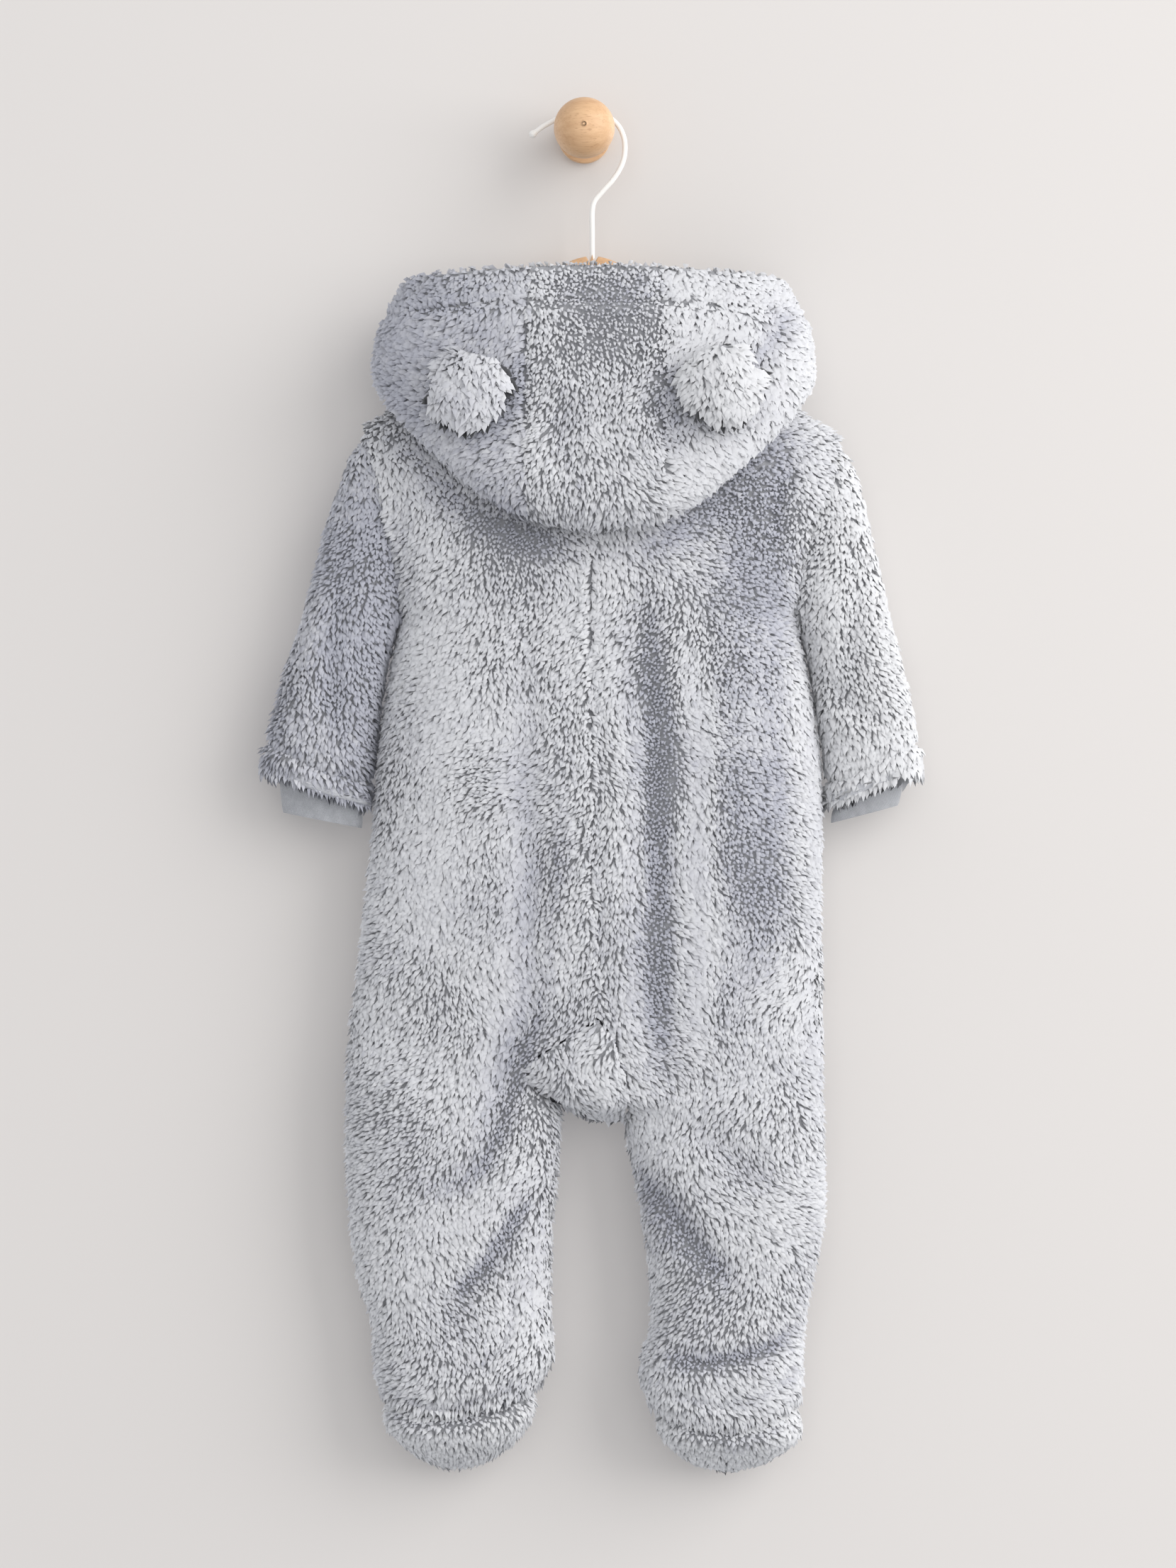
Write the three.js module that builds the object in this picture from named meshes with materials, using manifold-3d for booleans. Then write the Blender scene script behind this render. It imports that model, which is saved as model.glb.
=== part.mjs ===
// A plush fleece bunting suit on a wooden hanger, hung on a turned wall peg.
//
// Frame, in millimetres: the origin is the centre of the peg's flat back face, which lies on the
// wall plane Y = 0. +Z is up and -Y points out from the wall. The suit hangs with its back
// outwards, so its left side here is at -X and its zip faces the wall.
import * as THREE from 'three';
import { mergeVertices } from 'three/addons/utils/BufferGeometryUtils.js';
import Module from 'manifold-3d';

const wasm = await Module();
wasm.setup();

// ---------------------------------------------------------------- driving dimensions

const FLEECE = 3; // plush fleece wall, backing and the dense root of the pile
const JERSEY = 1.4; // cuff wall
const SEAM = 0.4; // gap between two pieces sewn together
const STEP = 0.02; // parameter step that a surface's normal is measured over

const NECK = { x: 5, half: 51, z: -118, back: -130, front: -167 }; // neckline's sides, back, front
const NECK_Y = { back: -48, front: -11 }; // how far out the neckline stands
const NECK_ROUND = { back: 0.5, front: 0.25 }; // how roundly it runs in to the shoulder seams
const SHOULDER = { y: -25.5, slope: 0.63 }; // shoulder seam over the hanger's arms
const FALL = { back: 0.55, front: 0.33 }; // how soon the cloth below the shoulder is full: 0 at once
const ARMHOLE = { open: 14, round: 0.6 }; // half the armhole's gape, and how round it is
const SQUARE = 0.78; // roundness of the body's sections: 1 is an ellipse, 0 a box
const LIMB_ROUND = 0.86; // the same for sleeves
const SLEEVE_EASE = 0.8; // how soon a sleeve leaves the armhole for its first ring

const HOOD = { x: 6, band: 26, strip: 2, end: 7.6 }; // middle, face-edge band, strip's table row
const BAND_SHARE = 0.3; // the most of a short cut that the band takes
const HANG = { near: 0.15, far: 0.55, ease: 0.7 }; // where the hanging inside stands off the back
const EAR = { width: 42, length: 42, puff: 7, under: 3, wall: 2.4, tilt: -13, stand: 4.4, yaw: 0.6 };
const EAR_OUTLINE = { span: 1.9, start: 0.9, full: 0.98 }; // part of a circle, from base to tip
const EAR_CROWN = { across: 0.6, along: 0.45 }; // how flat the padding's top is each way

// The slot in the front closes over a length of fade, and the tapes end by rise above its end.
const ZIP = { x: 4, top: -177, end: -492, slot: 8, fade: 12, rise: 17, tape: 12, chain: 2.4, gap: 0.3 };
const TAPE_WALL = 0.8;
const CHAIN_WALL = 2.4;
const SLIDER = { z: -181, width: 8, length: 12, plate: 1.2, front: 0.7, back: 3.1 };
const POST = { width: 2.6, length: 3.4, up: 2.8 }; // joins the slider's two plates
const BRIDGE = { radius: 3, hole: 1.5, thick: 1.6, rise: 1.5 }; // the arch that holds the pull
const PULL = { width: 7, length: 27, thick: 1.4, bar: 0.8, eye: 3.7, eyeHalf: 1.3, corner: 1 };

const PEG = { base: 15, baseDepth: 4, neck: 10, ball: 17.5, ballY: -42, back: 0.6, edge: 0.8 };
const WIRE = { radius: 1.5, tip: 2.3, y: -26, sides: 8 };
const HANGER = { x: 4.5, thick: 8, tall: 15, round: 2.5, bore: 1.9, boreDepth: 13 };

// ---------------------------------------------------------------- tables

// Body and leg sections from the underarm down to the turned-in ankle. side is the side seam,
// inner the centre or inside-leg seam, turn the angle from one to the other (90 on the torso,
// 180 on a leg), back, rim and front how far out the back, the side seam and the front stand,
// tilt the rise per mm towards the inside leg, and sag how far the middle hangs below the seams.
const BODY_LEFT = [
  { z: -280, side: -105, inner: 4, turn: 90, back: -60, rim: -28, front: -9, tilt: 0, sag: 0 },
  { z: -325, side: -113, inner: 4, turn: 90, back: -62, rim: -29, front: -8, tilt: 0, sag: 0 },
  { z: -365, side: -118, inner: 4, turn: 90, back: -63, rim: -31, front: -8, tilt: 0, sag: 0 },
  { z: -405, side: -121, inner: 4, turn: 90, back: -63, rim: -32, front: -8, tilt: 0, sag: 0 },
  { z: -450, side: -126, inner: 5, turn: 90, back: -62, rim: -32, front: -8, tilt: 0, sag: 0 },
  { z: -488, side: -130, inner: 7, turn: 90, back: -60, rim: -32, front: -8, tilt: 0, sag: 0 },
  { z: -508, side: -133, inner: 8, turn: 90, back: -59, rim: -32, front: -8, tilt: 0, sag: 0 },
  { z: -519, side: -134, inner: -6, turn: 91, back: -58, rim: -32, front: -8, tilt: 0, sag: 0 },
  { z: -529, side: -135, inner: -22, turn: 95, back: -57, rim: -32, front: -8, tilt: 0, sag: 0 },
  { z: -538, side: -136, inner: -31, turn: 108, back: -56, rim: -32, front: -8, tilt: 0, sag: 0 },
  { z: -548, side: -136, inner: -29, turn: 136, back: -56, rim: -32, front: -8, tilt: 0, sag: 0 },
  { z: -558, side: -136, inner: -16, turn: 180, back: -56, rim: -32, front: -8, tilt: 0, sag: 0 },
  { z: -595, side: -136, inner: -16, turn: 180, back: -56, rim: -31, front: -8, tilt: 0, sag: 0 },
  { z: -627, side: -134, inner: -19, turn: 180, back: -55, rim: -31, front: -8, tilt: 0, sag: 0 },
  { z: -658, side: -130, inner: -20, turn: 180, back: -54, rim: -31, front: -8, tilt: 0, sag: 0 },
  { z: -684, side: -122, inner: -20, turn: 180, back: -55, rim: -31, front: -8, tilt: 0.02, sag: 0 },
  { z: -705, side: -120, inner: -18, turn: 180, back: -58, rim: -32, front: -8, tilt: 0.05, sag: 3 },
  { z: -718, side: -118, inner: -22, turn: 180, back: -58, rim: -32, front: -9, tilt: 0.08, sag: 8 },
  { z: -726, side: -113, inner: -29, turn: 180, back: -53, rim: -32, front: -12, tilt: 0.08, sag: 11 },
  { z: -724, side: -108, inner: -34, turn: 180, back: -50, rim: -32, front: -15, tilt: 0.08, sag: 11 },
];
const BODY_RIGHT = [
  { z: -280, side: 121, inner: 4, turn: 90, back: -60, rim: -28, front: -9, tilt: 0, sag: 0 },
  { z: -325, side: 130, inner: 4, turn: 90, back: -62, rim: -29, front: -8, tilt: 0, sag: 0 },
  { z: -365, side: 135, inner: 4, turn: 90, back: -63, rim: -31, front: -8, tilt: 0, sag: 0 },
  { z: -405, side: 136, inner: 4, turn: 90, back: -63, rim: -32, front: -8, tilt: 0, sag: 0 },
  { z: -450, side: 135, inner: 5, turn: 90, back: -62, rim: -32, front: -8, tilt: 0, sag: 0 },
  { z: -488, side: 136, inner: 7, turn: 90, back: -60, rim: -32, front: -8, tilt: 0, sag: 0 },
  { z: -508, side: 136, inner: 8, turn: 90, back: -59, rim: -32, front: -8, tilt: 0, sag: 0 },
  { z: -521, side: 136, inner: 17, turn: 91, back: -58, rim: -32, front: -8, tilt: 0, sag: 0 },
  { z: -533, side: 136, inner: 20, turn: 94, back: -57, rim: -32, front: -8, tilt: 0, sag: 0 },
  { z: -545, side: 136, inner: 22, turn: 101, back: -56, rim: -32, front: -8, tilt: 0, sag: 0 },
  { z: -557, side: 136, inner: 24, turn: 122, back: -56, rim: -32, front: -8, tilt: 0, sag: 0 },
  { z: -569, side: 137, inner: 24, turn: 180, back: -56, rim: -32, front: -8, tilt: 0, sag: 0 },
  { z: -595, side: 137, inner: 28, turn: 180, back: -56, rim: -31, front: -8, tilt: 0, sag: 0 },
  { z: -627, side: 137, inner: 34, turn: 180, back: -55, rim: -31, front: -8, tilt: 0, sag: 0 },
  { z: -658, side: 131, inner: 38, turn: 180, back: -54, rim: -31, front: -8, tilt: 0, sag: 0 },
  { z: -688, side: 126, inner: 39, turn: 180, back: -55, rim: -31, front: -8, tilt: 0, sag: 0 },
  { z: -708, side: 125, inner: 33, turn: 180, back: -58, rim: -32, front: -8, tilt: 0, sag: 4 },
  { z: -723, side: 125, inner: 34, turn: 180, back: -58, rim: -32, front: -9, tilt: -0.03, sag: 10 },
  { z: -731, side: 121, inner: 41, turn: 180, back: -53, rim: -32, front: -12, tilt: -0.04, sag: 14 },
  { z: -729, side: 116, inner: 46, turn: 180, back: -50, rim: -32, front: -15, tilt: -0.04, sag: 14 },
];
// The gusset: the rows of its ends and its corners, its end gap, and how far and how roundly it bulges.
const GUSSET = { top: 6, corner: 11, start: 0.04, bulge: 7, round: 0.7 };

// The armhole's edge down from the shoulder tip, evenly spaced.
const ARMHOLE_EDGE = [
  { left: -128, right: 147 },
  { left: -122, right: 143 },
  { left: -116, right: 134 },
  { left: -109, right: 126 },
  { left: -105, right: 121 },
];

// Foot sections from the ankle down to the toe, between the same three depths as the body's.
const FOOT_LEFT = [
  { z: -727, side: -107, inner: -35, turn: 180, back: -49, rim: -32, front: -16, tilt: 0.08, sag: 11 },
  { z: -731, side: -112, inner: -31, turn: 180, back: -53, rim: -32, front: -12, tilt: 0.08, sag: 11 },
  { z: -736, side: -115, inner: -29, turn: 180, back: -55, rim: -31, front: -9, tilt: 0.06, sag: 9 },
  { z: -745, side: -114, inner: -32, turn: 180, back: -53, rim: -29, front: -8, tilt: 0.03, sag: 5 },
  { z: -755, side: -107, inner: -41, turn: 180, back: -47, rim: -26, front: -8, tilt: 0, sag: 2 },
  { z: -764, side: -96, inner: -52, turn: 180, back: -38, rim: -23, front: -10, tilt: 0, sag: 0 },
  { z: -769, side: -86, inner: -63, turn: 180, back: -29, rim: -21, front: -15, tilt: 0, sag: 0 },
  { z: -771, side: -81, inner: -69, turn: 180, back: -23, rim: -21, front: -19, tilt: 0, sag: 0 },
];
const FOOT_RIGHT = [
  { z: -732, side: 115, inner: 47, turn: 180, back: -49, rim: -32, front: -16, tilt: -0.04, sag: 14 },
  { z: -736, side: 120, inner: 43, turn: 180, back: -53, rim: -32, front: -12, tilt: -0.04, sag: 13 },
  { z: -742, side: 124, inner: 42, turn: 180, back: -55, rim: -31, front: -9, tilt: -0.02, sag: 10 },
  { z: -751, side: 124, inner: 44, turn: 180, back: -52, rim: -29, front: -8, tilt: 0, sag: 5 },
  { z: -760, side: 116, inner: 52, turn: 180, back: -46, rim: -26, front: -8, tilt: 0, sag: 1 },
  { z: -768, side: 104, inner: 62, turn: 180, back: -37, rim: -23, front: -10, tilt: 0, sag: 0 },
  { z: -771, side: 94, inner: 73, turn: 180, back: -29, rim: -21, front: -15, tilt: 0, sag: 0 },
  { z: -773, side: 89, inner: 78, turn: 180, back: -23, rim: -21, front: -19, tilt: 0, sag: 0 },
];

// Sleeve rings below the armhole: the outer and the inner point of each, its middle and half depth.
// The last two rings turn the hem in to the cuff.
const SLEEVE_LEFT = [
  { outX: -134, outZ: -184, inX: -107, inZ: -285, mid: -27, deep: 16 },
  { outX: -146, outZ: -219, inX: -109, inZ: -293, mid: -26, deep: 18 },
  { outX: -156, outZ: -258, inX: -113, inZ: -306, mid: -26, deep: 19 },
  { outX: -169, outZ: -300, inX: -117, inZ: -328, mid: -26, deep: 19 },
  { outX: -179, outZ: -336, inX: -120, inZ: -357, mid: -26, deep: 18 },
  { outX: -186, outZ: -359, inX: -122, inZ: -382, mid: -26, deep: 17 },
  { outX: -185, outZ: -371, inX: -124, inZ: -391, mid: -26, deep: 15 },
  { outX: -177, outZ: -370, inX: -129, inZ: -385, mid: -26, deep: 10 },
];
const SLEEVE_RIGHT = [
  { outX: 151, outZ: -184, inX: 123, inZ: -285, mid: -27, deep: 16 },
  { outX: 161, outZ: -214, inX: 125, inZ: -293, mid: -26, deep: 18 },
  { outX: 170, outZ: -253, inX: 129, inZ: -306, mid: -26, deep: 19 },
  { outX: 180, outZ: -295, inX: 133, inZ: -328, mid: -26, deep: 19 },
  { outX: 189, outZ: -335, inX: 137, inZ: -357, mid: -26, deep: 18 },
  { outX: 194, outZ: -358, inX: 139, inZ: -382, mid: -26, deep: 17 },
  { outX: 193, outZ: -370, inX: 141, inZ: -390, mid: -26, deep: 15 },
  { outX: 184, outZ: -369, inX: 146, inZ: -384, mid: -26, deep: 10 },
];
const CUFF_LEFT = [
  { outX: -176, outZ: -371, inX: -129, inZ: -386, mid: -26, deep: 9.6 },
  { outX: -175, outZ: -383, inX: -128, inZ: -395, mid: -26, deep: 8 },
  { outX: -174, outZ: -393, inX: -128, inZ: -402, mid: -26, deep: 8 },
];
const CUFF_RIGHT = [
  { outX: 184, outZ: -370, inX: 146, inZ: -385, mid: -26, deep: 9.6 },
  { outX: 183, outZ: -380, inX: 143, inZ: -393, mid: -26, deep: 8 },
  { outX: 181, outZ: -389, inX: 142, inZ: -399, mid: -26, deep: 8 },
];

// Hood cuts from the neck seam (neck), under the hanging fold (fold) and up to the face edge (rim),
// for the right half, measured from its middle. faces is the way the outside looks, seen from
// above: -90 away from the wall, 0 sideways, 90 to the wall. swell rounds the outside, round is the
// fold's radius, and off how far the hanging inside stands off the suit's back.
const HOOD_COLUMNS = [
  'neckX', 'neckY', 'neckZ', 'foldX', 'foldY', 'foldZ',
  'rimX', 'rimY', 'rimZ', 'faces', 'swell', 'round', 'off',
];
const HOOD_CUTS = [
  [0, -47, -127, 0, -75, -233, 0, -74, -76, -90, 6, 10, 6.5],
  [14, -47, -127, 20, -75, -231, 19, -74, -76, -89, 6, 10, 6.5],
  [27, -45, -124, 39, -74, -227, 38, -73, -77, -86, 6, 10, 6.5],
  [38, -41, -121, 61, -71, -215, 62, -69, -78, -78, 6, 10, 6],
  [46, -36, -118, 85, -65, -194, 88, -62, -80, -60, 6, 10, 5],
  [50, -29, -115, 108, -53, -170, 107, -47, -82, -32, 6, 9, 4],
  [51, -22, -115, 117, -31, -150, 105, -26, -86, 10, 6, 8, 3],
  [45, -14, -124, 84, -11, -144, 76, -9, -108, 75, 1, 4.5, 1],
  [18, -12, -157, 30, -10, -160, 22, -7, -147, 88, 0, 3.2, 0.3],
].map((row) => Object.fromEntries(row.map((value, i) => [HOOD_COLUMNS[i], value])));

// Ears: the middle of the base seam, measured on the hood, and the way the tip hangs.
const EARS = [
  { name: 'ear_left', x: -59, z: -134, lean: 16 },
  { name: 'ear_right', x: 66, z: -134, lean: -34 },
];

// The hook's wire, from its tip over the peg's neck and down to the hanger.
const HOOK_ROUTE = [
  { x: -31.5, z: -2.8 },
  { x: -24.5, z: 2.6 },
  { x: -16.8, z: 6.9 },
  { x: -9.0, z: 10.6 },
  { x: -1.0, z: 12.1 },
  { x: 8.0, z: 11.0 },
  { x: 15.0, z: 7.8 },
  { x: 20.0, z: 2.9 },
  { x: 23.0, z: -4.4 },
  { x: 23.2, z: -13.0 },
  { x: 20.8, z: -20.8 },
  { x: 16.3, z: -27.8 },
  { x: 10.3, z: -34.6 },
  { x: 5.6, z: -40.6 },
  { x: 4.5, z: -46.0 },
  { x: 4.5, z: -58.0 },
  { x: 4.5, z: -83.0 },
];

// The hanger's upper edge, outwards from its middle.
const HANGER_EDGE = [
  { x: 0, z: -71 },
  { x: 14, z: -75.5 },
  { x: 28, z: -91 },
  { x: 40, z: -117 },
  { x: 54, z: -141 },
  { x: 78, z: -154 },
  { x: 99, z: -169 },
];

// ---------------------------------------------------------------- finishes

const finish = (color, roughness, metalness) => ({ color, roughness, metalness });
const PLUSH = finish(0xaeb4bf, 0.95, 0);
const KNIT = finish(0x8f98a6, 0.9, 0);
const BEECH = finish(0xd9b98c, 0.55, 0);
const ENAMEL = finish(0xf1efe9, 0.35, 0);
const NICKEL = finish(0xb9bcc0, 0.3, 1);
const TAPE = finish(0x9aa3b1, 0.85, 0);

// ---------------------------------------------------------------- helpers

const { lerp, degToRad, clamp } = THREE.MathUtils;
const vec = (x, y, z) => new THREE.Vector3(x, y, z);
const soft = (value, power) => Math.sign(value) * Math.abs(value) ** power;
const range = (from, to, count) => Array.from({ length: count + 1 }, (_, i) => lerp(from, to, i / count));

/** One column of a table at a fractional row, on a smooth curve through its rows. */
function column(rows, name, at) {
  const last = rows.length - 1;
  const row = clamp(Math.floor(at), 0, last - 1);
  const t = at - row;
  const [a, b, c, d] = [-1, 0, 1, 2].map((i) => rows[clamp(row + i, 0, last)][name]);
  return b + 0.5 * t * (c - a + t * (2 * a - 5 * b + 4 * c - d + t * (3 * (b - c) + d - a)));
}

/** A mesh with its own material, added to the suit. */
function piece(name, geometry, look) {
  const mesh = new THREE.Mesh(geometry, new THREE.MeshStandardMaterial(look));
  mesh.name = name;
  suit.add(mesh);
  return mesh;
}

/** The outward normal of a surface at (u, v). side is 1 or -1, for a surface that runs the other way. */
function normalAt(surface, u, v, side) {
  const across = surface(u + STEP, v).sub(surface(u - STEP, v));
  const along = surface(u, v + STEP).sub(surface(u, v - STEP));
  return across.cross(along).normalize().multiplyScalar(side);
}

/** Moves a grid's edge points into the cloth by its share of the seam's gap. */
function pullIn(grid, closed, gap) {
  const last = grid.length - 1;
  const end = grid[0].length - 1;
  const shift = (from, to) => from.add(to.clone().sub(from).setLength(gap));
  for (let j = 0; j <= end; j++) {
    if (closed) continue;
    shift(grid[0][j], grid[1][j]);
    shift(grid[last][j], grid[last - 1][j]);
  }
  for (let i = 0; i <= last; i++) {
    shift(grid[i][0], grid[i][1]);
    shift(grid[i][end], grid[i][end - 1]);
  }
}

/** A cloth wall: the grid of its outside, the grid of its inside, and the edges between them. */
function wall(outer, inner, closed) {
  const [nu, nv] = [outer.length, outer[0].length];
  const positions = [...outer.flat(), ...inner.flat()].flatMap((p) => [p.x, p.y, p.z]);
  const at = (layer, i, j) => layer * nu * nv + (i % nu) * nv + j;
  const index = [];
  const quad = (a, b, c, d) => index.push(a, b, c, a, c, d);
  const spans = closed ? nu : nu - 1;
  for (let i = 0; i < spans; i++) {
    for (let j = 0; j < nv - 1; j++) {
      quad(at(0, i, j), at(0, i + 1, j), at(0, i + 1, j + 1), at(0, i, j + 1));
      quad(at(1, i, j), at(1, i, j + 1), at(1, i + 1, j + 1), at(1, i + 1, j));
    }
    quad(at(0, i, 0), at(1, i, 0), at(1, i + 1, 0), at(0, i + 1, 0));
    quad(at(0, i, nv - 1), at(0, i + 1, nv - 1), at(1, i + 1, nv - 1), at(1, i, nv - 1));
  }
  for (let j = 0; j < nv - 1 && !closed; j++) {
    quad(at(0, 0, j), at(0, 0, j + 1), at(1, 0, j + 1), at(1, 0, j));
    quad(at(0, nu - 1, j), at(1, nu - 1, j), at(1, nu - 1, j + 1), at(0, nu - 1, j + 1));
  }
  return outwards(positions, index);
}

/** A geometry whose faces all point out, whichever way they were listed. */
function outwards(positions, index) {
  const at = (i) => vec(...positions.slice(3 * index[i], 3 * index[i] + 3));
  let volume = 0;
  for (let i = 0; i < index.length; i += 3) volume += at(i).dot(at(i + 1).cross(at(i + 2)));
  if (volume < 0) index.reverse();
  const geometry = new THREE.BufferGeometry();
  geometry.setAttribute('position', new THREE.Float32BufferAttribute(positions, 3));
  geometry.setIndex(index);
  return geometry;
}

/** A cloth piece from the surface of its outside, over lists of u and v. */
function cloth(surface, us, vs, options = {}) {
  const { thick = FLEECE, side = 1, closed = false, normal = normalAt, gap = SEAM / 2 } = options;
  const outer = us.map((u) => vs.map((v) => surface(u, v)));
  const inner = us.map((u, i) =>
    vs.map((v, j) => outer[i][j].clone().addScaledVector(normal(surface, u, v, side), -thick)));
  pullIn(outer, closed, gap);
  pullIn(inner, closed, gap);
  return wall(outer, inner, closed);
}

/** A closed geometry as a manifold solid, and back. */
function solid(geometry) {
  geometry.deleteAttribute('normal');
  geometry.deleteAttribute('uv');
  const merged = mergeVertices(geometry, 1e-4);
  const vertProperties = new Float32Array(merged.attributes.position.array);
  return new wasm.Manifold(new wasm.Mesh({
    numProp: 3, vertProperties, triVerts: new Uint32Array(merged.index.array),
  }));
}
function geometryOf(body) {
  const mesh = body.getMesh();
  const geometry = new THREE.BufferGeometry();
  geometry.setAttribute('position', new THREE.Float32BufferAttribute(mesh.vertProperties, 3));
  geometry.setIndex(Array.from(mesh.triVerts));
  return geometry;
}
const block = (x, y, z, at) => new THREE.BoxGeometry(x, y, z).translate(at.x, at.y, at.z);

// ---------------------------------------------------------------- body

/** How high the top edge of the body is, at a distance from the neck's middle. */
function topEdge(face, distance) {
  const inside = Math.sqrt(Math.max(0, 1 - (distance / NECK.half) ** 2));
  if (distance < NECK.half) return NECK.z + (NECK[face] - NECK.z) * inside;
  return NECK.z - (distance - NECK.half) * SHOULDER.slope;
}

/** Half the width of the slot that the zip lies in, at a height. */
const slotAt = (z) => ZIP.slot * clamp((z - ZIP.end) / ZIP.fade, 0, 1);

/**
 * The outside of one half of the body on its back or its front. s runs from the side seam to the
 * centre or inside-leg seam, and row down the table; rows -1 to 0 are from the shoulder to the
 * underarm.
 */
function bodyPoint(half, face, s, row) {
  const at = Math.max(row, 0);
  const get = (name) => column(half.rows, name, at);
  const turn = degToRad(get('turn'));
  const underarm = half.rows[0].z;
  const down = Math.min(row, 0) + 1;
  const side = row < 0 ? column(ARMHOLE_EDGE, half.name, down * (ARMHOLE_EDGE.length - 1)) : get('side');
  const slot = face === 'front' && half.slotted ? slotAt(get('z')) * half.sign : 0;
  const inner = get('inner') + slot;
  const reach = (inner - side) / (1 - soft(Math.cos(turn), SQUARE));
  const angle = s * turn;
  const x = side + reach * (1 - soft(Math.cos(angle), SQUARE));
  const swell = soft(Math.sin(angle), SQUARE);
  const y = get('rim') + (get(face) - get('rim')) * swell;
  const rise = get('tilt') * (x - (side + inner) / 2) * -half.sign;
  const z = get('z') + rise - get('sag') * Math.sin(angle) ** 2;
  if (row >= 0) return vec(x, y, z);

  const distance = Math.abs(x - NECK.x);
  const neck = Math.max(0, 1 - (distance / NECK.half) ** 2) ** NECK_ROUND[face];
  const topY = SHOULDER.y + (NECK_Y[face] - SHOULDER.y) * neck;
  const fall = soft(Math.sin((down * Math.PI) / 2), FALL[face]);
  const gape = ARMHOLE.open * soft(Math.sin(down * Math.PI), ARMHOLE.round) * Math.max(0, 1 - s) ** 2;
  return vec(x, lerp(topY, y, fall) + (face === 'back' ? -gape : gape),
    lerp(topEdge(face, distance), underarm, down));
}

/** The body's normal; it points up along the shoulder seam and stays in the armhole's plane. */
function bodyNormal(surface, s, row, side) {
  if (row > -1) {
    const normal = normalAt(surface, s, row, side);
    if (s === 0 && row < 0) normal.x *= 1 - Math.sqrt(Math.sin(-row * Math.PI));
    return normal.normalize();
  }
  if (s === 0) return vec(0, 0, 1);
  const edge = surface(s, row);
  if (Math.abs(edge.x - NECK.x) < NECK.half) return normalAt(surface, s, row + 2 * STEP, side);
  return vec(Math.sign(edge.x) * SHOULDER.slope, 0, 1).normalize();
}

const LEFT = { name: 'left', sign: -1, rows: BODY_LEFT, foot: FOOT_LEFT, slotted: true };
const RIGHT = { name: 'right', sign: 1, rows: BODY_RIGHT, foot: FOOT_RIGHT, slotted: true };

const suit = new THREE.Group();
const acrossBody = [0, 0.12, 0.24, 0.36, 0.48, 0.6, 0.71, 0.82, 0.86, 0.92, 1]; // closest at the neck
for (const half of [LEFT, RIGHT]) {
  const rows = [...range(-1, 0, 6).slice(0, -1), ...half.rows.keys()];
  for (const [face, flip] of [['back', 1], ['front', -1]]) {
    const surface = (s, row) => bodyPoint(half, face, s, row);
    const side = half.sign * flip;
    piece(`${face}_${half.name}`, cloth(surface, acrossBody, rows, { side, normal: bodyNormal }), PLUSH);
  }
}

/** The gusset between the four seams: q runs from the back under the crotch to the front. */
function gussetPoint(r, q) {
  const { top, corner, round } = GUSSET;
  const face = q <= 0.5 ? 'back' : 'front';
  const row = lerp(corner, top, Math.abs(2 * q - 1));
  const from = bodyPoint(LEFT, face, 1, row);
  const to = bodyPoint(RIGHT, face, 1, row);
  const bulge = GUSSET.bulge * (Math.sin(Math.PI * clamp(r, 0, 1)) * Math.sin(Math.PI * q)) ** round;
  const way = vec(0, -Math.cos(Math.PI * q), -Math.sin(Math.PI * q));
  return from.lerp(to, r).addScaledVector(way, bulge);
}
const gussetRows = range(GUSSET.start, 1 - GUSSET.start, 10);
piece('crotch_gusset', cloth(gussetPoint, range(0, 1, 5), gussetRows, { side: -1, gap: 2 * SEAM }), PLUSH);

// ---------------------------------------------------------------- feet

const acrossFoot = range(0, 1, 9);
for (const half of [LEFT, RIGHT]) {
  const foot = { name: half.name, sign: half.sign, rows: half.foot, slotted: false };
  for (const [name, face, flip] of [['foot_sole', 'back', 1], ['foot_upper', 'front', -1]]) {
    const surface = (s, row) => bodyPoint(foot, face, s, row);
    const rows = [...foot.rows.keys()];
    piece(`${name}_${half.name}`, cloth(surface, acrossFoot, rows, { side: half.sign * flip }), PLUSH);
  }
}

// ---------------------------------------------------------------- sleeves and cuffs

/** A ring's point: turn 0 is the outer side, 90 the back, 180 the inner side, 270 the front. */
function ringPoint(rows, turn, row) {
  const get = (name) => column(rows, name, row);
  const angle = turn * 2 * Math.PI;
  const along = 0.5 - 0.5 * soft(Math.cos(angle), LIMB_ROUND);
  return vec(lerp(get('outX'), get('inX'), along),
    get('mid') - get('deep') * soft(Math.sin(angle), LIMB_ROUND),
    lerp(get('outZ'), get('inZ'), along));
}

/** The sleeve's outside; row -1 is the armhole seam. */
function sleevePoint(half, rows, turn, row) {
  if (row >= 0) return ringPoint(rows, turn, row);
  const wrapped = ((turn % 1) + 1) % 1;
  const face = wrapped <= 0.5 ? 'back' : 'front';
  const down = wrapped <= 0.5 ? 2 * wrapped : 2 - 2 * wrapped;
  const edge = bodyPoint(half, face, 0, down - 1);
  edge.x += half.sign * 1.5 * SEAM;
  return edge.lerp(ringPoint(rows, turn, 0), soft(row + 1, SLEEVE_EASE));
}

/** The sleeve's normal, kept in the armhole's plane at the seam. */
function sleeveNormal(surface, turn, row, side) {
  const normal = normalAt(surface, turn, row, side);
  if (row === -1) normal.x = 0;
  return normal.normalize();
}

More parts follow.
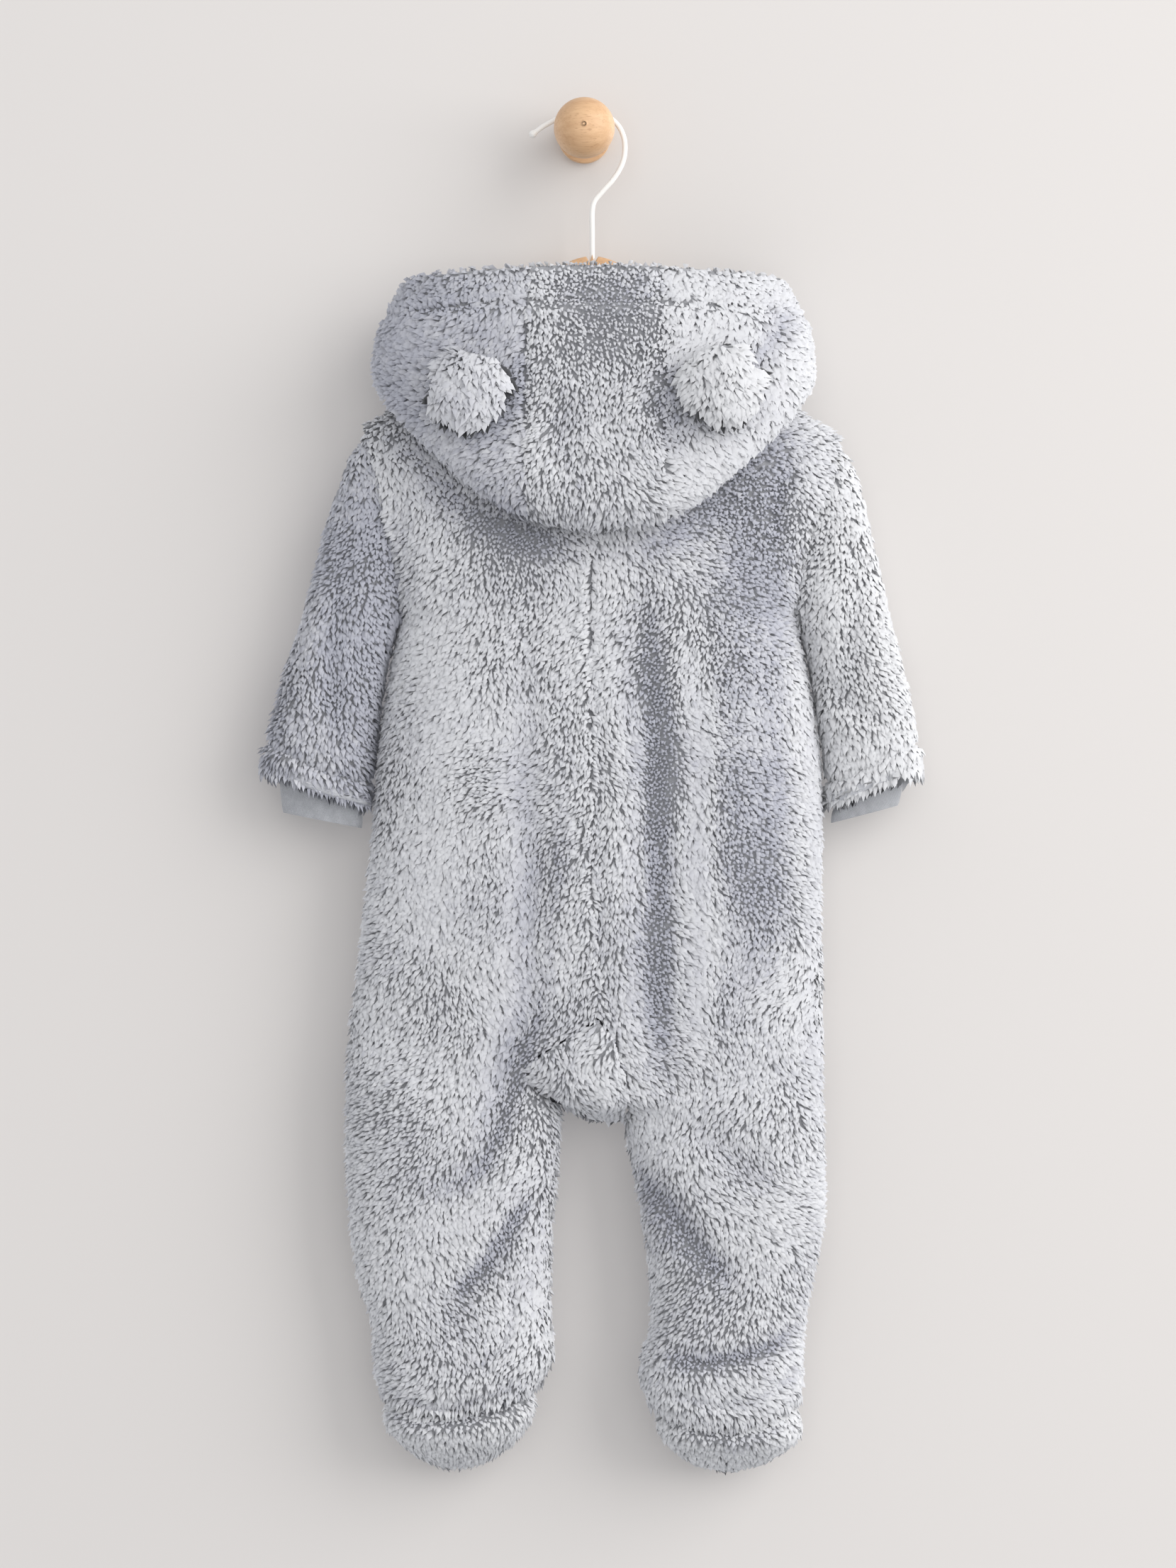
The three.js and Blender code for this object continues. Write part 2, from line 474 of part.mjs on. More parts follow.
const around = range(0, 1, 16).slice(0, -1);
for (const [half, sleeve, cuff] of [[LEFT, SLEEVE_LEFT, CUFF_LEFT], [RIGHT, SLEEVE_RIGHT, CUFF_RIGHT]]) {
  const shape = (turn, row) => sleevePoint(half, sleeve, turn, row);
  const rows = [-1, -0.5, ...sleeve.keys()];
  const side = half.sign;
  const seamed = { side, closed: true, normal: sleeveNormal };
  piece(`sleeve_${half.name}`, cloth(shape, around, rows, seamed), PLUSH);
  const rib = (turn, row) => ringPoint(cuff, turn, row);
  const options = { side, closed: true, thick: JERSEY };
  piece(`cuff_${half.name}`, cloth(rib, around, [...cuff.keys()], options), KNIT);
}

// ---------------------------------------------------------------- hood

/** One cut of the hood, as a curve from the neck seam to the face edge. */
function hoodCut(u) {
  const get = (name) => column(HOOD_CUTS, name, Math.abs(u));
  const mirror = u < 0 ? -1 : 1;
  const faces = degToRad(get('faces'));
  const way = vec(Math.cos(faces), Math.sin(faces), 0);
  const neck = vec(get('neckX'), get('neckY'), get('neckZ'));
  const fold = vec(get('foldX'), get('foldY'), get('foldZ'));
  const rim = vec(get('rimX'), get('rimY'), get('rimZ'));
  const lift = vec(0, 0, get('round'));
  const inner = fold.clone().addScaledVector(way, -get('round')).add(lift);
  const outer = fold.clone().addScaledVector(way, get('round')).add(lift);
  const middle = outer.clone().lerp(rim, 0.5).addScaledVector(way, get('swell'));
  const off = (part, out) => neck.clone().lerp(inner, part).addScaledVector(way, out);
  const [near, far] = [off(HANG.near, get('off')), off(HANG.far, get('off') * HANG.ease)];
  const points = [neck, near, far, inner, fold, outer, middle, rim];
  for (const p of points) p.x = HOOD.x + p.x * mirror;
  return new THREE.CatmullRomCurve3(points, false, 'centripetal');
}

/** The hood's outside: v from 0 to 1 is the neck seam to the band's seam, and 1 to 2 the band. */
function hoodPoint(u, v) {
  const cut = hoodCut(u);
  const length = cut.getLength();
  const band = Math.min(HOOD.band, length * BAND_SHARE);
  const seam = cut.getUtoTmapping(1 - band / length);
  return cut.getPoint(v <= 1 ? v * seam : lerp(seam, 1, v - 1));
}

/** The hood's normal, measured inside its edges. */
function hoodNormal(surface, u, v, side) {
  return normalAt(surface, clamp(u, -HOOD.end, HOOD.end), clamp(v, STEP, 2 - STEP), side);
}

const { strip, end } = HOOD;
const hoodPanels = [
  ['hood_centre', 'hood_band_centre', range(-strip, strip, 4)],
  ['hood_side_left', 'hood_band_left', range(-end, -strip, 8)],
  ['hood_side_right', 'hood_band_right', range(strip, end, 8)],
];
for (const [panel, band, us] of hoodPanels) {
  const options = { side: 1, normal: hoodNormal };
  piece(panel, cloth(hoodPoint, us, range(0, 1, 13), options), PLUSH);
  piece(band, cloth(hoodPoint, us, range(1, 2, 2), options), PLUSH);
}

// ---------------------------------------------------------------- ears

/** Half of an ear: u across, v from the base seam to the tip; puff is how far it stands out. */
function earPoint(puff, u, v) {
  const { span, start, full } = EAR_OUTLINE;
  const reach = Math.sqrt(Math.max(0, 1 - (clamp(v, 0, 1) * span - start) ** 2 * full));
  const across = (u - 0.5) * EAR.width * reach;
  const dome = (part, power) => Math.max(0, 1 - (2 * part - 1) ** 2) ** power;
  const crown = dome(u, EAR_CROWN.across) * dome(v, EAR_CROWN.along);
  return vec(across, -puff * crown, -EAR.length * v);
}

/** The hood's outside at a place seen from behind: its point and the way it faces, in degrees. */
function hoodAt(x, z) {
  let best = { miss: Infinity };
  for (const u of range(-5, 5, 60)) {
    for (const v of range(0.5, 1, 40)) {
      const point = hoodPoint(u, v);
      const miss = Math.hypot(point.x - x, point.z - z);
      if (miss < best.miss) best = { miss, point, faces: column(HOOD_CUTS, 'faces', Math.abs(u)) };
    }
  }
  return best;
}

for (const ear of EARS) {
  const { point, faces } = hoodAt(ear.x, ear.z);
  const yaw = Math.sign(ear.x - HOOD.x) * (faces + 90) * EAR.yaw;
  const place = new THREE.Matrix4()
    .makeTranslation(ear.x, point.y - EAR.stand, ear.z)
    .multiply(new THREE.Matrix4().makeRotationZ(degToRad(yaw)))
    .multiply(new THREE.Matrix4().makeRotationY(degToRad(ear.lean)))
    .multiply(new THREE.Matrix4().makeRotationX(degToRad(EAR.tilt)));
  for (const [part, puff, side] of [['outer', EAR.puff, 1], ['under', -EAR.under, -1]]) {
    const shape = (u, v) => earPoint(puff, u, v).add(vec(0, -Math.sign(puff) * SEAM, 0));
    const geometry = cloth(shape, range(0.04, 0.96, 6), range(0.03, 0.97, 6), { side, thick: EAR.wall });
    piece(`${ear.name}_${part}`, geometry.applyMatrix4(place), PLUSH);
  }
}

// ---------------------------------------------------------------- zip

/** Where the middle of the front lies at a height: its Y, in line with the front's cloth. */
function frontAt(z) {
  const rows = BODY_LEFT;
  if (z > rows[0].z) {
    return bodyPoint(LEFT, 'front', 1, (rows[0].z - z) / (NECK.front - rows[0].z)).y;
  }
  const below = rows.findIndex((row) => row.z <= z);
  const [upper, lower] = [rows[below - 1], rows[below]];
  return lerp(lower.front, upper.front, (z - lower.z) / (upper.z - lower.z));
}

/** A flat strip down the front from x0 to x1, sunk below the cloth's outside by depth. */
function frontStrip(x0, x1, top, depth, thick) {
  const surface = (u, v) => {
    const z = lerp(top, ZIP.end + ZIP.rise, v);
    return vec(ZIP.x + lerp(x0, x1, u), frontAt(clamp(z, ZIP.end, ZIP.top)) - depth, z);
  };
  return cloth(surface, [0, 1], range(0, 1, 16), { thick, gap: 0.01 });
}
const tapeDepth = FLEECE + 2 * SEAM;
const chainDepth = tapeDepth - TAPE_WALL;
const tapeEdge = ZIP.chain + ZIP.gap;
piece('zip_tape_left', frontStrip(-ZIP.tape, -tapeEdge, ZIP.top, tapeDepth, TAPE_WALL), TAPE);
piece('zip_tape_right', frontStrip(tapeEdge, ZIP.tape, ZIP.top, tapeDepth, TAPE_WALL), TAPE);
piece('zip_chain', frontStrip(-ZIP.chain, ZIP.chain, SLIDER.z - 1, chainDepth, CHAIN_WALL), TAPE);

// The slider: two plates joined by a post above the chain's end, with a bridge for the pull.
const lie = frontAt(SLIDER.z) - chainDepth;
const plateFront = lie + SLIDER.front;
const plateBack = lie - SLIDER.back;
const pivot = vec(ZIP.x, plateFront + SLIDER.plate + BRIDGE.rise, SLIDER.z);
const slab = (y) => solid(block(SLIDER.width, SLIDER.plate, SLIDER.length, vec(ZIP.x, y, SLIDER.z)));
const plates = slab(plateFront + SLIDER.plate / 2).add(slab(plateBack - SLIDER.plate / 2));
const post = block(POST.width, plateFront - plateBack + 1, POST.length,
  vec(ZIP.x, (plateFront + plateBack) / 2, SLIDER.z + POST.up));
const archShape = new THREE.Shape().absarc(0, 0, BRIDGE.radius, 0, Math.PI * 2);
archShape.holes.push(new THREE.Path().absarc(0, 0, BRIDGE.hole, 0, Math.PI * 2, true));
const archDepth = { depth: BRIDGE.thick, bevelEnabled: false, curveSegments: 12 };
const arch = new THREE.ExtrudeGeometry(archShape, archDepth)
  .translate(0, 0, -BRIDGE.thick / 2)
  .rotateY(Math.PI / 2)
  .translate(pivot.x, pivot.y, pivot.z);
const cutter = { x: 4, y: 6, z: 8, top: 1 }; // takes off the arch's lower part, inside the plate
const below = vec(pivot.x, plateFront + cutter.top - cutter.y / 2, pivot.z);
const bridge = solid(arch).subtract(solid(block(cutter.x, cutter.y, cutter.z, below)));
piece('zip_slider', geometryOf(plates.add(solid(post)).add(bridge)), NICKEL);

// The pull: a tab whose eye goes round the bridge, hanging from its own cross bar.
const pullShape = new THREE.Shape();
const halfPull = PULL.width / 2;
pullShape.moveTo(-halfPull + PULL.corner, 0);
pullShape.lineTo(halfPull - PULL.corner, 0);
pullShape.lineTo(halfPull, -PULL.length + halfPull);
pullShape.absarc(0, -PULL.length + halfPull, halfPull, 0, -Math.PI, true);
pullShape.closePath();
const eye = new THREE.Path();
eye.moveTo(-PULL.eyeHalf, -PULL.bar);
eye.lineTo(-PULL.eyeHalf, -PULL.eye);
eye.lineTo(PULL.eyeHalf, -PULL.eye);
eye.lineTo(PULL.eyeHalf, -PULL.bar);
eye.closePath();
pullShape.holes.push(eye);
const tab = new THREE.ExtrudeGeometry(pullShape, { depth: PULL.thick, bevelEnabled: false, curveSegments: 8 })
  .translate(0, 0, -PULL.thick / 2)
  .rotateX(Math.PI / 2)
  .translate(pivot.x, pivot.y, pivot.z);
const bar = new THREE.CylinderGeometry(PULL.bar, PULL.bar, PULL.width - 2, 12)
  .rotateZ(Math.PI / 2)
  .translate(pivot.x, pivot.y, pivot.z);
piece('zip_pull', geometryOf(solid(tab).add(solid(bar))), NICKEL);

// ---------------------------------------------------------------- hanger and peg

const route = new THREE.CatmullRomCurve3(HOOK_ROUTE.map(({ x, z }) => vec(x, WIRE.y, z)));
const wireShape = new THREE.Shape().absarc(0, 0, WIRE.radius, 0, Math.PI * 2);
const wire = new THREE.ExtrudeGeometry(wireShape, {
  steps: 44, extrudePath: route, curveSegments: WIRE.sides / 2, bevelEnabled: false,
});
const tip = new THREE.SphereGeometry(WIRE.tip, 10, 8).translate(HOOK_ROUTE[0].x, WIRE.y, HOOK_ROUTE[0].z);
piece('hanger_hook', geometryOf(solid(wire).add(solid(tip))), ENAMEL);

/** The hanger's outline: along its upper edge, round the ends and back below. */
function hangerOutline() {
  const half = new THREE.CatmullRomCurve3(HANGER_EDGE.map(({ x, z }) => vec(x, 0, z)));
  const upper = range(0, 1, 12).map((t) => ({ at: half.getPoint(t), way: half.getTangent(t) }));
  const lower = upper.map(({ at, way }) => vec(at.x - way.z * -HANGER.tall, 0, at.z - way.x * HANGER.tall));
  const right = [...upper.map(({ at }) => at), ...lower.reverse()];
  right.forEach((p) => { p.x = Math.max(p.x, 0); });
  const left = right.slice(1, -1).reverse().map((p) => vec(-p.x, 0, p.z));
  return [...right, ...left].map((p) => new THREE.Vector2(p.x, p.z));
}
const arms = new THREE.ExtrudeGeometry(new THREE.Shape(hangerOutline()), {
  depth: HANGER.thick - 2 * HANGER.round, bevelEnabled: true, bevelThickness: HANGER.round,
  bevelSize: HANGER.round, bevelOffset: -HANGER.round, bevelSegments: 2,
}).rotateX(Math.PI / 2).translate(HANGER.x, WIRE.y + HANGER.thick / 2 - HANGER.round, 0);
const bore = new THREE.CylinderGeometry(HANGER.bore, HANGER.bore, 2 * HANGER.boreDepth, 12)
  .rotateX(Math.PI / 2)
  .translate(HANGER.x, WIRE.y, HANGER_EDGE[0].z);
piece('hanger_body', geometryOf(solid(arms).subtract(solid(bore))), BEECH);

// The peg: a disc against the wall, a neck, and a ball whose back the neck runs into.
const ballStart = Math.asin(PEG.neck / PEG.ball);
const ballArc = range(ballStart, Math.PI, 9).map((angle) =>
  new THREE.Vector2(PEG.ball * Math.sin(angle), PEG.ballY + PEG.ball * Math.cos(angle)));
ballArc[ballArc.length - 1].x = 0;
const pegProfile = [
  [0, 0], [PEG.base - PEG.back, 0], [PEG.base, -PEG.edge], [PEG.base, PEG.edge - PEG.baseDepth],
  [PEG.base - PEG.edge, -PEG.baseDepth], [PEG.neck, -PEG.baseDepth],
].map(([r, y]) => new THREE.Vector2(r, y));
piece('wall_peg', closedLathe(new THREE.LatheGeometry([...pegProfile, ...ballArc], 28)), BEECH);

/** A lathe with its seam and pole points merged and its faces out. */
function closedLathe(geometry) {
  geometry.deleteAttribute('normal');
  geometry.deleteAttribute('uv');
  const merged = mergeVertices(geometry, 1e-3);
  const index = Array.from(merged.index.array);
  const kept = [];
  for (let i = 0; i < index.length; i += 3) {
    const [a, b, c] = index.slice(i, i + 3);
    if (a !== b && b !== c && c !== a) kept.push(a, b, c);
  }
  return outwards(Array.from(merged.attributes.position.array), kept);
}

export default suit;
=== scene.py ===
"""A plush fleece bunting suit on a wooden hanger, hung on a turned wall peg: how it looks.

Sizes are in millimetres in the suit's own frame: the origin is the centre of the peg's flat back
face on the wall plane Y = 0, +Z is up and -Y points out from the wall. Meshes are made in metres.
The suit hangs with its back outwards, so its left side is at -X and its zip faces the wall.
"""
import logging
import math
from dataclasses import dataclass, field
from enum import Enum
from typing import Callable, Sequence

import bmesh
import bpy
import numpy as np
from mathutils import Matrix, Vector, noise
from mathutils.kdtree import KDTree


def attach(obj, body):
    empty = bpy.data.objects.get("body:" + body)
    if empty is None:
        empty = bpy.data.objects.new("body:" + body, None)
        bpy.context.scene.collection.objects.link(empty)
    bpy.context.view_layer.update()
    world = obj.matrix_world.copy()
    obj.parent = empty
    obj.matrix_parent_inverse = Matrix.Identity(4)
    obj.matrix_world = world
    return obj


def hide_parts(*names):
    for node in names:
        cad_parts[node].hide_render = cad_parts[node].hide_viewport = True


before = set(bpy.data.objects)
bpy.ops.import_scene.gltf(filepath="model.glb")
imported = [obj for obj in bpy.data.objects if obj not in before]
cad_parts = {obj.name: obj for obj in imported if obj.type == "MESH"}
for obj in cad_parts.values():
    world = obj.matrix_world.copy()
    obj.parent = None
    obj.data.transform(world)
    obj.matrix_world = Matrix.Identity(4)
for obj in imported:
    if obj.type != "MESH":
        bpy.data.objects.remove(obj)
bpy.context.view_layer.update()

LOG = logging.getLogger("bunting_suit")
MM = 0.001
SEAM = 0.4
Array = np.ndarray
Surface = Callable[[Array, Array], Array]
Colour = tuple[float, float, float]


class Face(Enum):
    """The two faces of the hanging suit; the value is the way each looks along Y."""

    BACK = -1
    FRONT = 1


class Side(Enum):
    """The suit's own left and right; the value is the sign of X."""

    LEFT = -1
    RIGHT = 1


class Body(Enum):
    """The rigid bodies that pieces ride on."""

    SUIT = "suit"
    PULL = "pull"


# ------------------------------------------------------------------ numbers and curves


def soft(value: Array, power: float) -> Array:
    """A power that keeps the value's sign."""
    return np.sign(value) * np.abs(value) ** power


def ease(value: Array) -> Array:
    """A smooth step from 0 to 1."""
    held = np.clip(value, 0, 1)
    return held * held * (3 - 2 * held)


def unit(vectors: Array) -> Array:
    """Vectors scaled to a length of one."""
    return vectors / np.maximum(np.linalg.norm(vectors, axis=-1, keepdims=True), 1e-9)


def lerp(start: Array, end: Array, share: Array) -> Array:
    """A value part of the way from start to end."""
    return start + (end - start) * share


@dataclass(frozen=True)
class Table:
    """Rows of numbers with named columns, read on a smooth curve through the rows."""

    columns: tuple[str, ...]
    rows: tuple[tuple[float, ...], ...]

    def read(self, name: str, at: Array) -> Array:
        """Reads a column between its rows.

        Args:
            name: The column.
            at: Fractional row numbers.
        Returns:
            The column's value at each row number.
        """
        values = np.array([row[self.columns.index(name)] for row in self.rows], float)
        last = len(values) - 1
        row = np.clip(np.floor(at), 0, last - 1).astype(int)
        t = at - row
        a, b, c, d = (values[np.clip(row + i, 0, last)] for i in (-1, 0, 1, 2))
        cubic = 3 * (b - c) + d - a
        return b + 0.5 * t * (c - a + t * (2 * a - 5 * b + 4 * c - d + t * cubic))


def through(knots: Array, at: Array) -> Array:
    """Points on a smooth centripetal curve through knots.

    Args:
        knots: Knot points, (..., knots, 3); leading axes are separate curves.
        at: Places from 0 to 1 along each curve, (..., places).
    Returns:
        The points, (..., places, 3).
    """
    count = knots.shape[-2]
    ahead = 2 * knots[..., :1, :] - knots[..., 1:2, :]
    beyond = 2 * knots[..., -1:, :] - knots[..., -2:-1, :]
    padded = np.concatenate([ahead, knots, beyond], axis=-2)
    place = np.clip(at, 0, 1) * (count - 1)
    first = np.minimum(place.astype(int), count - 2)
    share = (place - first)[..., None]
    p0, p1, p2, p3 = (
        np.take_along_axis(padded, (first + i)[..., None], axis=-2) for i in range(4)
    )
    gaps = [np.linalg.norm(b - a, axis=-1, keepdims=True) ** 0.5
            for a, b in ((p0, p1), (p1, p2), (p2, p3))]
    middle = np.where(gaps[1] < 1e-4, 1.0, gaps[1])
    before = np.where(gaps[0] < 1e-4, middle, gaps[0])
    after = np.where(gaps[2] < 1e-4, middle, gaps[2])
    out = middle * ((p1 - p0) / before - (p2 - p0) / (before + middle) + (p2 - p1) / middle)
    into = middle * ((p2 - p1) / middle - (p3 - p1) / (middle + after) + (p3 - p2) / after)
    bend = 2 * (p1 - p2) + out + into
    return p1 + share * (out + share * (3 * (p2 - p1) - 2 * out - into + share * bend))


def evenly(path: Callable[[Array], Array], start: float, stop: float, pitch: float) -> Array:
    """Parameters that lie about a pitch apart along a path.

    Args:
        path: Gives the path's points, (places, 3), for an array of parameters.
        start: The first parameter.
        stop: The last parameter.
        pitch: The distance wanted between neighbours.
    Returns:
        The parameters, with both ends.
    """
    fine = np.linspace(start, stop, 500)
    steps = np.linalg.norm(np.diff(path(fine), axis=0), axis=1)
    run = np.concatenate([[0], np.cumsum(steps)])
    count = max(2, round(run[-1] / pitch))
    return np.interp(np.linspace(0, run[-1], count + 1), run, fine)


def turned(vectors: Array, axes: Array, degrees: Array) -> Array:
    """Vectors at right angles to their axes, turned about them."""
    angle = np.radians(degrees)[:, None]
    return vectors * np.cos(angle) + np.cross(axes, vectors) * np.sin(angle)


# ------------------------------------------------------------------ shaders


class Value:
    """A socket that carries a number; sums on it add Math nodes."""

    def __init__(self, shader: "Shader", socket: bpy.types.NodeSocket) -> None:
        """Wraps a socket of a shader."""
        self.shader = shader
        self.socket = socket

    def _math(self, operation: str, first: object, second: object) -> "Value":
        """One Math node on two values."""
        return self.shader.node("ShaderNodeMath", {"operation": operation}, {0: first, 1: second})

    def __add__(self, other: object) -> "Value":
        """The sum."""
        return self._math("ADD", self, other)

    def __sub__(self, other: object) -> "Value":
        """The difference."""
        return self._math("SUBTRACT", self, other)

    def __mul__(self, other: object) -> "Value":
        """The product."""
        return self._math("MULTIPLY", self, other)

    def sine(self) -> "Value":
        """The sine, in radians."""
        return self._math("SINE", self, 0.0)


class Shader:
    """A material whose nodes are added one at a time."""

    def __init__(self, name: str) -> None:
        """Makes an empty Principled material."""
        self.material = bpy.data.materials.new(name)
        self.material.use_nodes = True
        self.nodes = self.material.node_tree.nodes
        self.links = self.material.node_tree.links
        self.surface = next(n for n in self.nodes if n.type == "BSDF_PRINCIPLED")
        self.output = next(n for n in self.nodes if n.type == "OUTPUT_MATERIAL")

    def _fill(self, node: bpy.types.Node, inputs: dict) -> None:
        """Links or sets a node's sockets."""
        for key, value in inputs.items():
            if isinstance(value, Value):
                self.links.new(value.socket, node.inputs[key])
            elif isinstance(value, tuple) and len(value) == 3 and node.inputs[key].type == "RGBA":
                node.inputs[key].default_value = (*value, 1.0)
            else:
                node.inputs[key].default_value = value

    def node(self, kind: str, settings: dict, inputs: dict, out: int | str = 0) -> Value:
        """Adds a node.

        Args:
            kind: The node's type.
            settings: Its properties, and a ramp's stops as (place, colour) pairs.
            inputs: Values or links of its sockets, by name or number.
            out: The output socket to return.
        Returns:
            That output.
        """
        made = self.nodes.new(kind)
        for key, value in settings.items():
            if key == "stops":
                ramp = made.color_ramp
                while len(ramp.elements) < len(value):
                    ramp.elements.new(1.0)
                for element, (place, colour) in zip(ramp.elements, value):
                    element.position = place
                    element.color = (*colour, 1.0)
            else:
                setattr(made, key, value)
        self._fill(made, inputs)
        return Value(self, made.outputs[out])

    def dress(self, inputs: dict) -> bpy.types.Material:
        """Sets the surface's sockets and returns the material."""
        self._fill(self.surface, inputs)
        return self.material

    def on_map(self, name: str) -> list[Value]:
        """The two coordinates of a UV map."""
        at = {"Vector": self.node("ShaderNodeUVMap", {"uv_map": name}, {})}
        return [self.node("ShaderNodeSeparateXYZ", {}, at, axis) for axis in (0, 1)]

    def place(self, scale: tuple[float, float, float] = (1, 1, 1)) -> Value:
        """The object's own coordinates, scaled along each axis."""
        at = self.node("ShaderNodeTexCoord", {}, {}, "Object")
        return self.node("ShaderNodeVectorMath", {"operation": "MULTIPLY"}, {0: at, 1: scale})

    def cloudy(self, at: Value, scale: float, detail: float = 2.0) -> Value:
        """Smooth noise from 0 to 1."""
        return self.node("ShaderNodeTexNoise", {}, {"Vector": at, "Scale": scale, "Detail": detail})

    def mixed(self, share: Value, first: Colour | Value, second: Colour | Value) -> Value:
        """A colour part of the way from the first to the second."""
        inputs = {0: share, 6: first, 7: second}
        for key in (6, 7):
            if isinstance(inputs[key], tuple):
                inputs[key] = (*inputs[key], 1.0)
        return self.node("ShaderNodeMix", {"data_type": "RGBA"}, inputs, 2)

    def bump(self, height: Value, strength: float, distance: float) -> Value:
        """A bump of a height in metres."""
        inputs = {"Height": height, "Strength": strength, "Distance": distance}
        return self.node("ShaderNodeBump", {}, inputs)


@dataclass(frozen=True)
class PlushPile:
    """The pile's tufts: blue-grey, painted darker towards the root as the shade between the tufts.

    Each tuft's brightness, its own with painted light and shade added, is its U and the height up the
    tuft its V on the map named in uv. The lowest of these are painted darker and lilac, as shade.
    """

    uv: str = "OFBake"
    root: Colour = (0.52, 0.525, 0.545)
    belly: Colour = (0.64, 0.645, 0.662)
    tip: Colour = (0.662, 0.668, 0.684)
    lilac: Colour = (0.64, 0.65, 0.72)

    def material(self) -> bpy.types.Material:
        """The pile's material."""
        shader = Shader("plush_pile")
        tone, height = shader.on_map(self.uv)
        # Painted shade: darker at the root than at the tip, for the shade deep in the pile; the calm mix
        # lifts bright tufts' roots to the tip's colour.
        stops = ((0.0, self.root), (0.5, self.belly), (0.9, self.tip))
        plain = shader.node("ShaderNodeValToRGB", {"stops": stops}, {0: height})
        calm = shader.node("ShaderNodeValToRGB", {"stops": (
            (0.45, (0.0, 0.0, 0.0)), (0.9, (0.8, 0.8, 0.8)),
        )}, {0: tone})
        plain = shader.mixed(calm, plain, self.tip)
        # Painted shade: the lowest brightness, where the painted shade lies, is tinted darker and lilac.
        shade = shader.node("ShaderNodeValToRGB", {"stops": (
            (0.0, self.lilac), (0.3, (0.81, 0.813, 0.85)), (0.6, (0.95, 0.952, 0.965)), (1.0, (1, 1, 1)),
        )}, {0: tone})
        tinted = shader.node("ShaderNodeMix", {"data_type": "RGBA", "blend_type": "MULTIPLY"},
                             {0: 1.0, 6: plain, 7: shade}, 2)
        return shader.dress({
            "Base Color": tinted, "Roughness": 0.92, "Specular IOR Level": 0.15,
            "Sheen Weight": 0.15, "Sheen Roughness": 0.6, "Sheen Tint": (0.93, 0.95, 1.0),
        })


@dataclass(frozen=True)
class PlushGround:
    """The knitted ground that the pile grows from, on the right side or the wrong side."""

    name: str
    low: Colour
    high: Colour

    def material(self) -> bpy.types.Material:
        """The ground's material."""
        shader = Shader(self.name)
        at = shader.place()
        mottle = shader.cloudy(at, 160.0)
        loops = shader.cloudy(at, 900.0)
        return shader.dress({
            "Base Color": shader.mixed(mottle, self.low, self.high), "Roughness": 0.95,
            "Specular IOR Level": 0.1, "Sheen Weight": 0.3,
            "Normal": shader.bump(loops, 0.6, 0.0008),
        })


@dataclass(frozen=True)
class Knit:
    """Fine jersey: wales a pitch apart, from the cut's own map in metres."""

    wale: float = 0.9
    course: float = 0.7
    low: Colour = (0.31, 0.32, 0.34)
    high: Colour = (0.49, 0.50, 0.53)

    def material(self) -> bpy.types.Material:
        """The jersey's material."""
        shader = Shader("jersey")
        across, along = shader.on_map("cut")
        turn = 2 * math.pi / MM
        ribs = (across * (turn / self.wale)).sine()
        loops = (along * (turn / self.course) + ribs * 1.2).sine()
        height = ribs * 0.5 + loops * 0.35
        worn = shader.cloudy(shader.place(), 260.0, 3.0)
        share = height * 0.28 + worn * 0.9 - 0.02
        return shader.dress({
            "Base Color": shader.mixed(share, self.low, self.high), "Roughness": 0.88,
            "Specular IOR Level": 0.2, "Sheen Weight": 0.25,
            "Normal": shader.bump(height, 0.7, 0.00025),
        })


@dataclass(frozen=True)
class Tape:
    """The zip's woven tape, in a herringbone from the cut's own map in metres."""

    pitch: float = 1.1
    low: Colour = (0.20, 0.22, 0.26)
    high: Colour = (0.30, 0.325, 0.37)

    def material(self) -> bpy.types.Material:
        """The tape's material."""
        shader = Shader("zip_tape")
        across, along = shader.on_map("cut")
        turn = 2 * math.pi / MM / self.pitch
        slant = ((across * turn + along * turn)).sine()
        cross = (across * (turn * 2)).sine()
        height = slant * 0.5 + cross * 0.3
        share = height * 0.5 + 0.5
        return shader.dress({
            "Base Color": shader.mixed(share, self.low, self.high), "Roughness": 0.8,
            "Sheen Weight": 0.15, "Normal": shader.bump(height, 0.6, 0.0002),
        })


@dataclass(frozen=True)
class Moulded:
    """Moulded or plated parts: a base colour with a fine uneven surface."""

    name: str
    colour: Colour
    worn: Colour
    metal: float
    rough: float
    coat: float = 0.0

    def material(self) -> bpy.types.Material:
        """The part's material."""
        shader = Shader(self.name)
        at = shader.place()
        patch = shader.cloudy(at, 220.0, 4.0)
        grain = shader.cloudy(at, 1600.0, 2.0)
        return shader.dress({
            "Base Color": shader.mixed(patch, self.colour, self.worn), "Metallic": self.metal,
            "Roughness": patch * 0.16 + (self.rough - 0.08), "Coat Weight": self.coat,
            "Normal": shader.bump(grain, 0.15, 0.0001),
        })


@dataclass(frozen=True)
class Beech:
    """Pale oiled beech with its grain along X: soft bands and short darker flecks."""

    pale: Colour = (0.72, 0.47, 0.27)
    dark: Colour = (0.55, 0.32, 0.165)
    fleck: Colour = (0.42, 0.225, 0.11)

    def material(self) -> bpy.types.Material:
        """The wood's material."""
        shader = Shader("beech")
        bands = shader.cloudy(shader.place((0.12, 0.6, 1.0)), 240.0, 4.0)
        fibres = shader.cloudy(shader.place((0.05, 1.0, 1.0)), 900.0, 3.0)
        dashes = shader.cloudy(shader.place((0.16, 1.0, 1.0)), 1300.0, 1.0)
        ramp = {"stops": ((0.3, self.pale), (0.72, self.dark))}
        wood = shader.node("ShaderNodeValToRGB", ramp, {0: bands * 0.65 + fibres * 0.35})
        marks = shader.node("ShaderNodeMapRange", {}, {0: dashes, 1: 0.62, 2: 0.74})
        return shader.dress({
            "Base Color": shader.mixed(marks * 0.55, wood, self.fleck),
            "Roughness": fibres * 0.2 + 0.4, "Coat Weight": 0.08,
            "Normal": shader.bump(fibres, 0.25, 0.00015),
        })


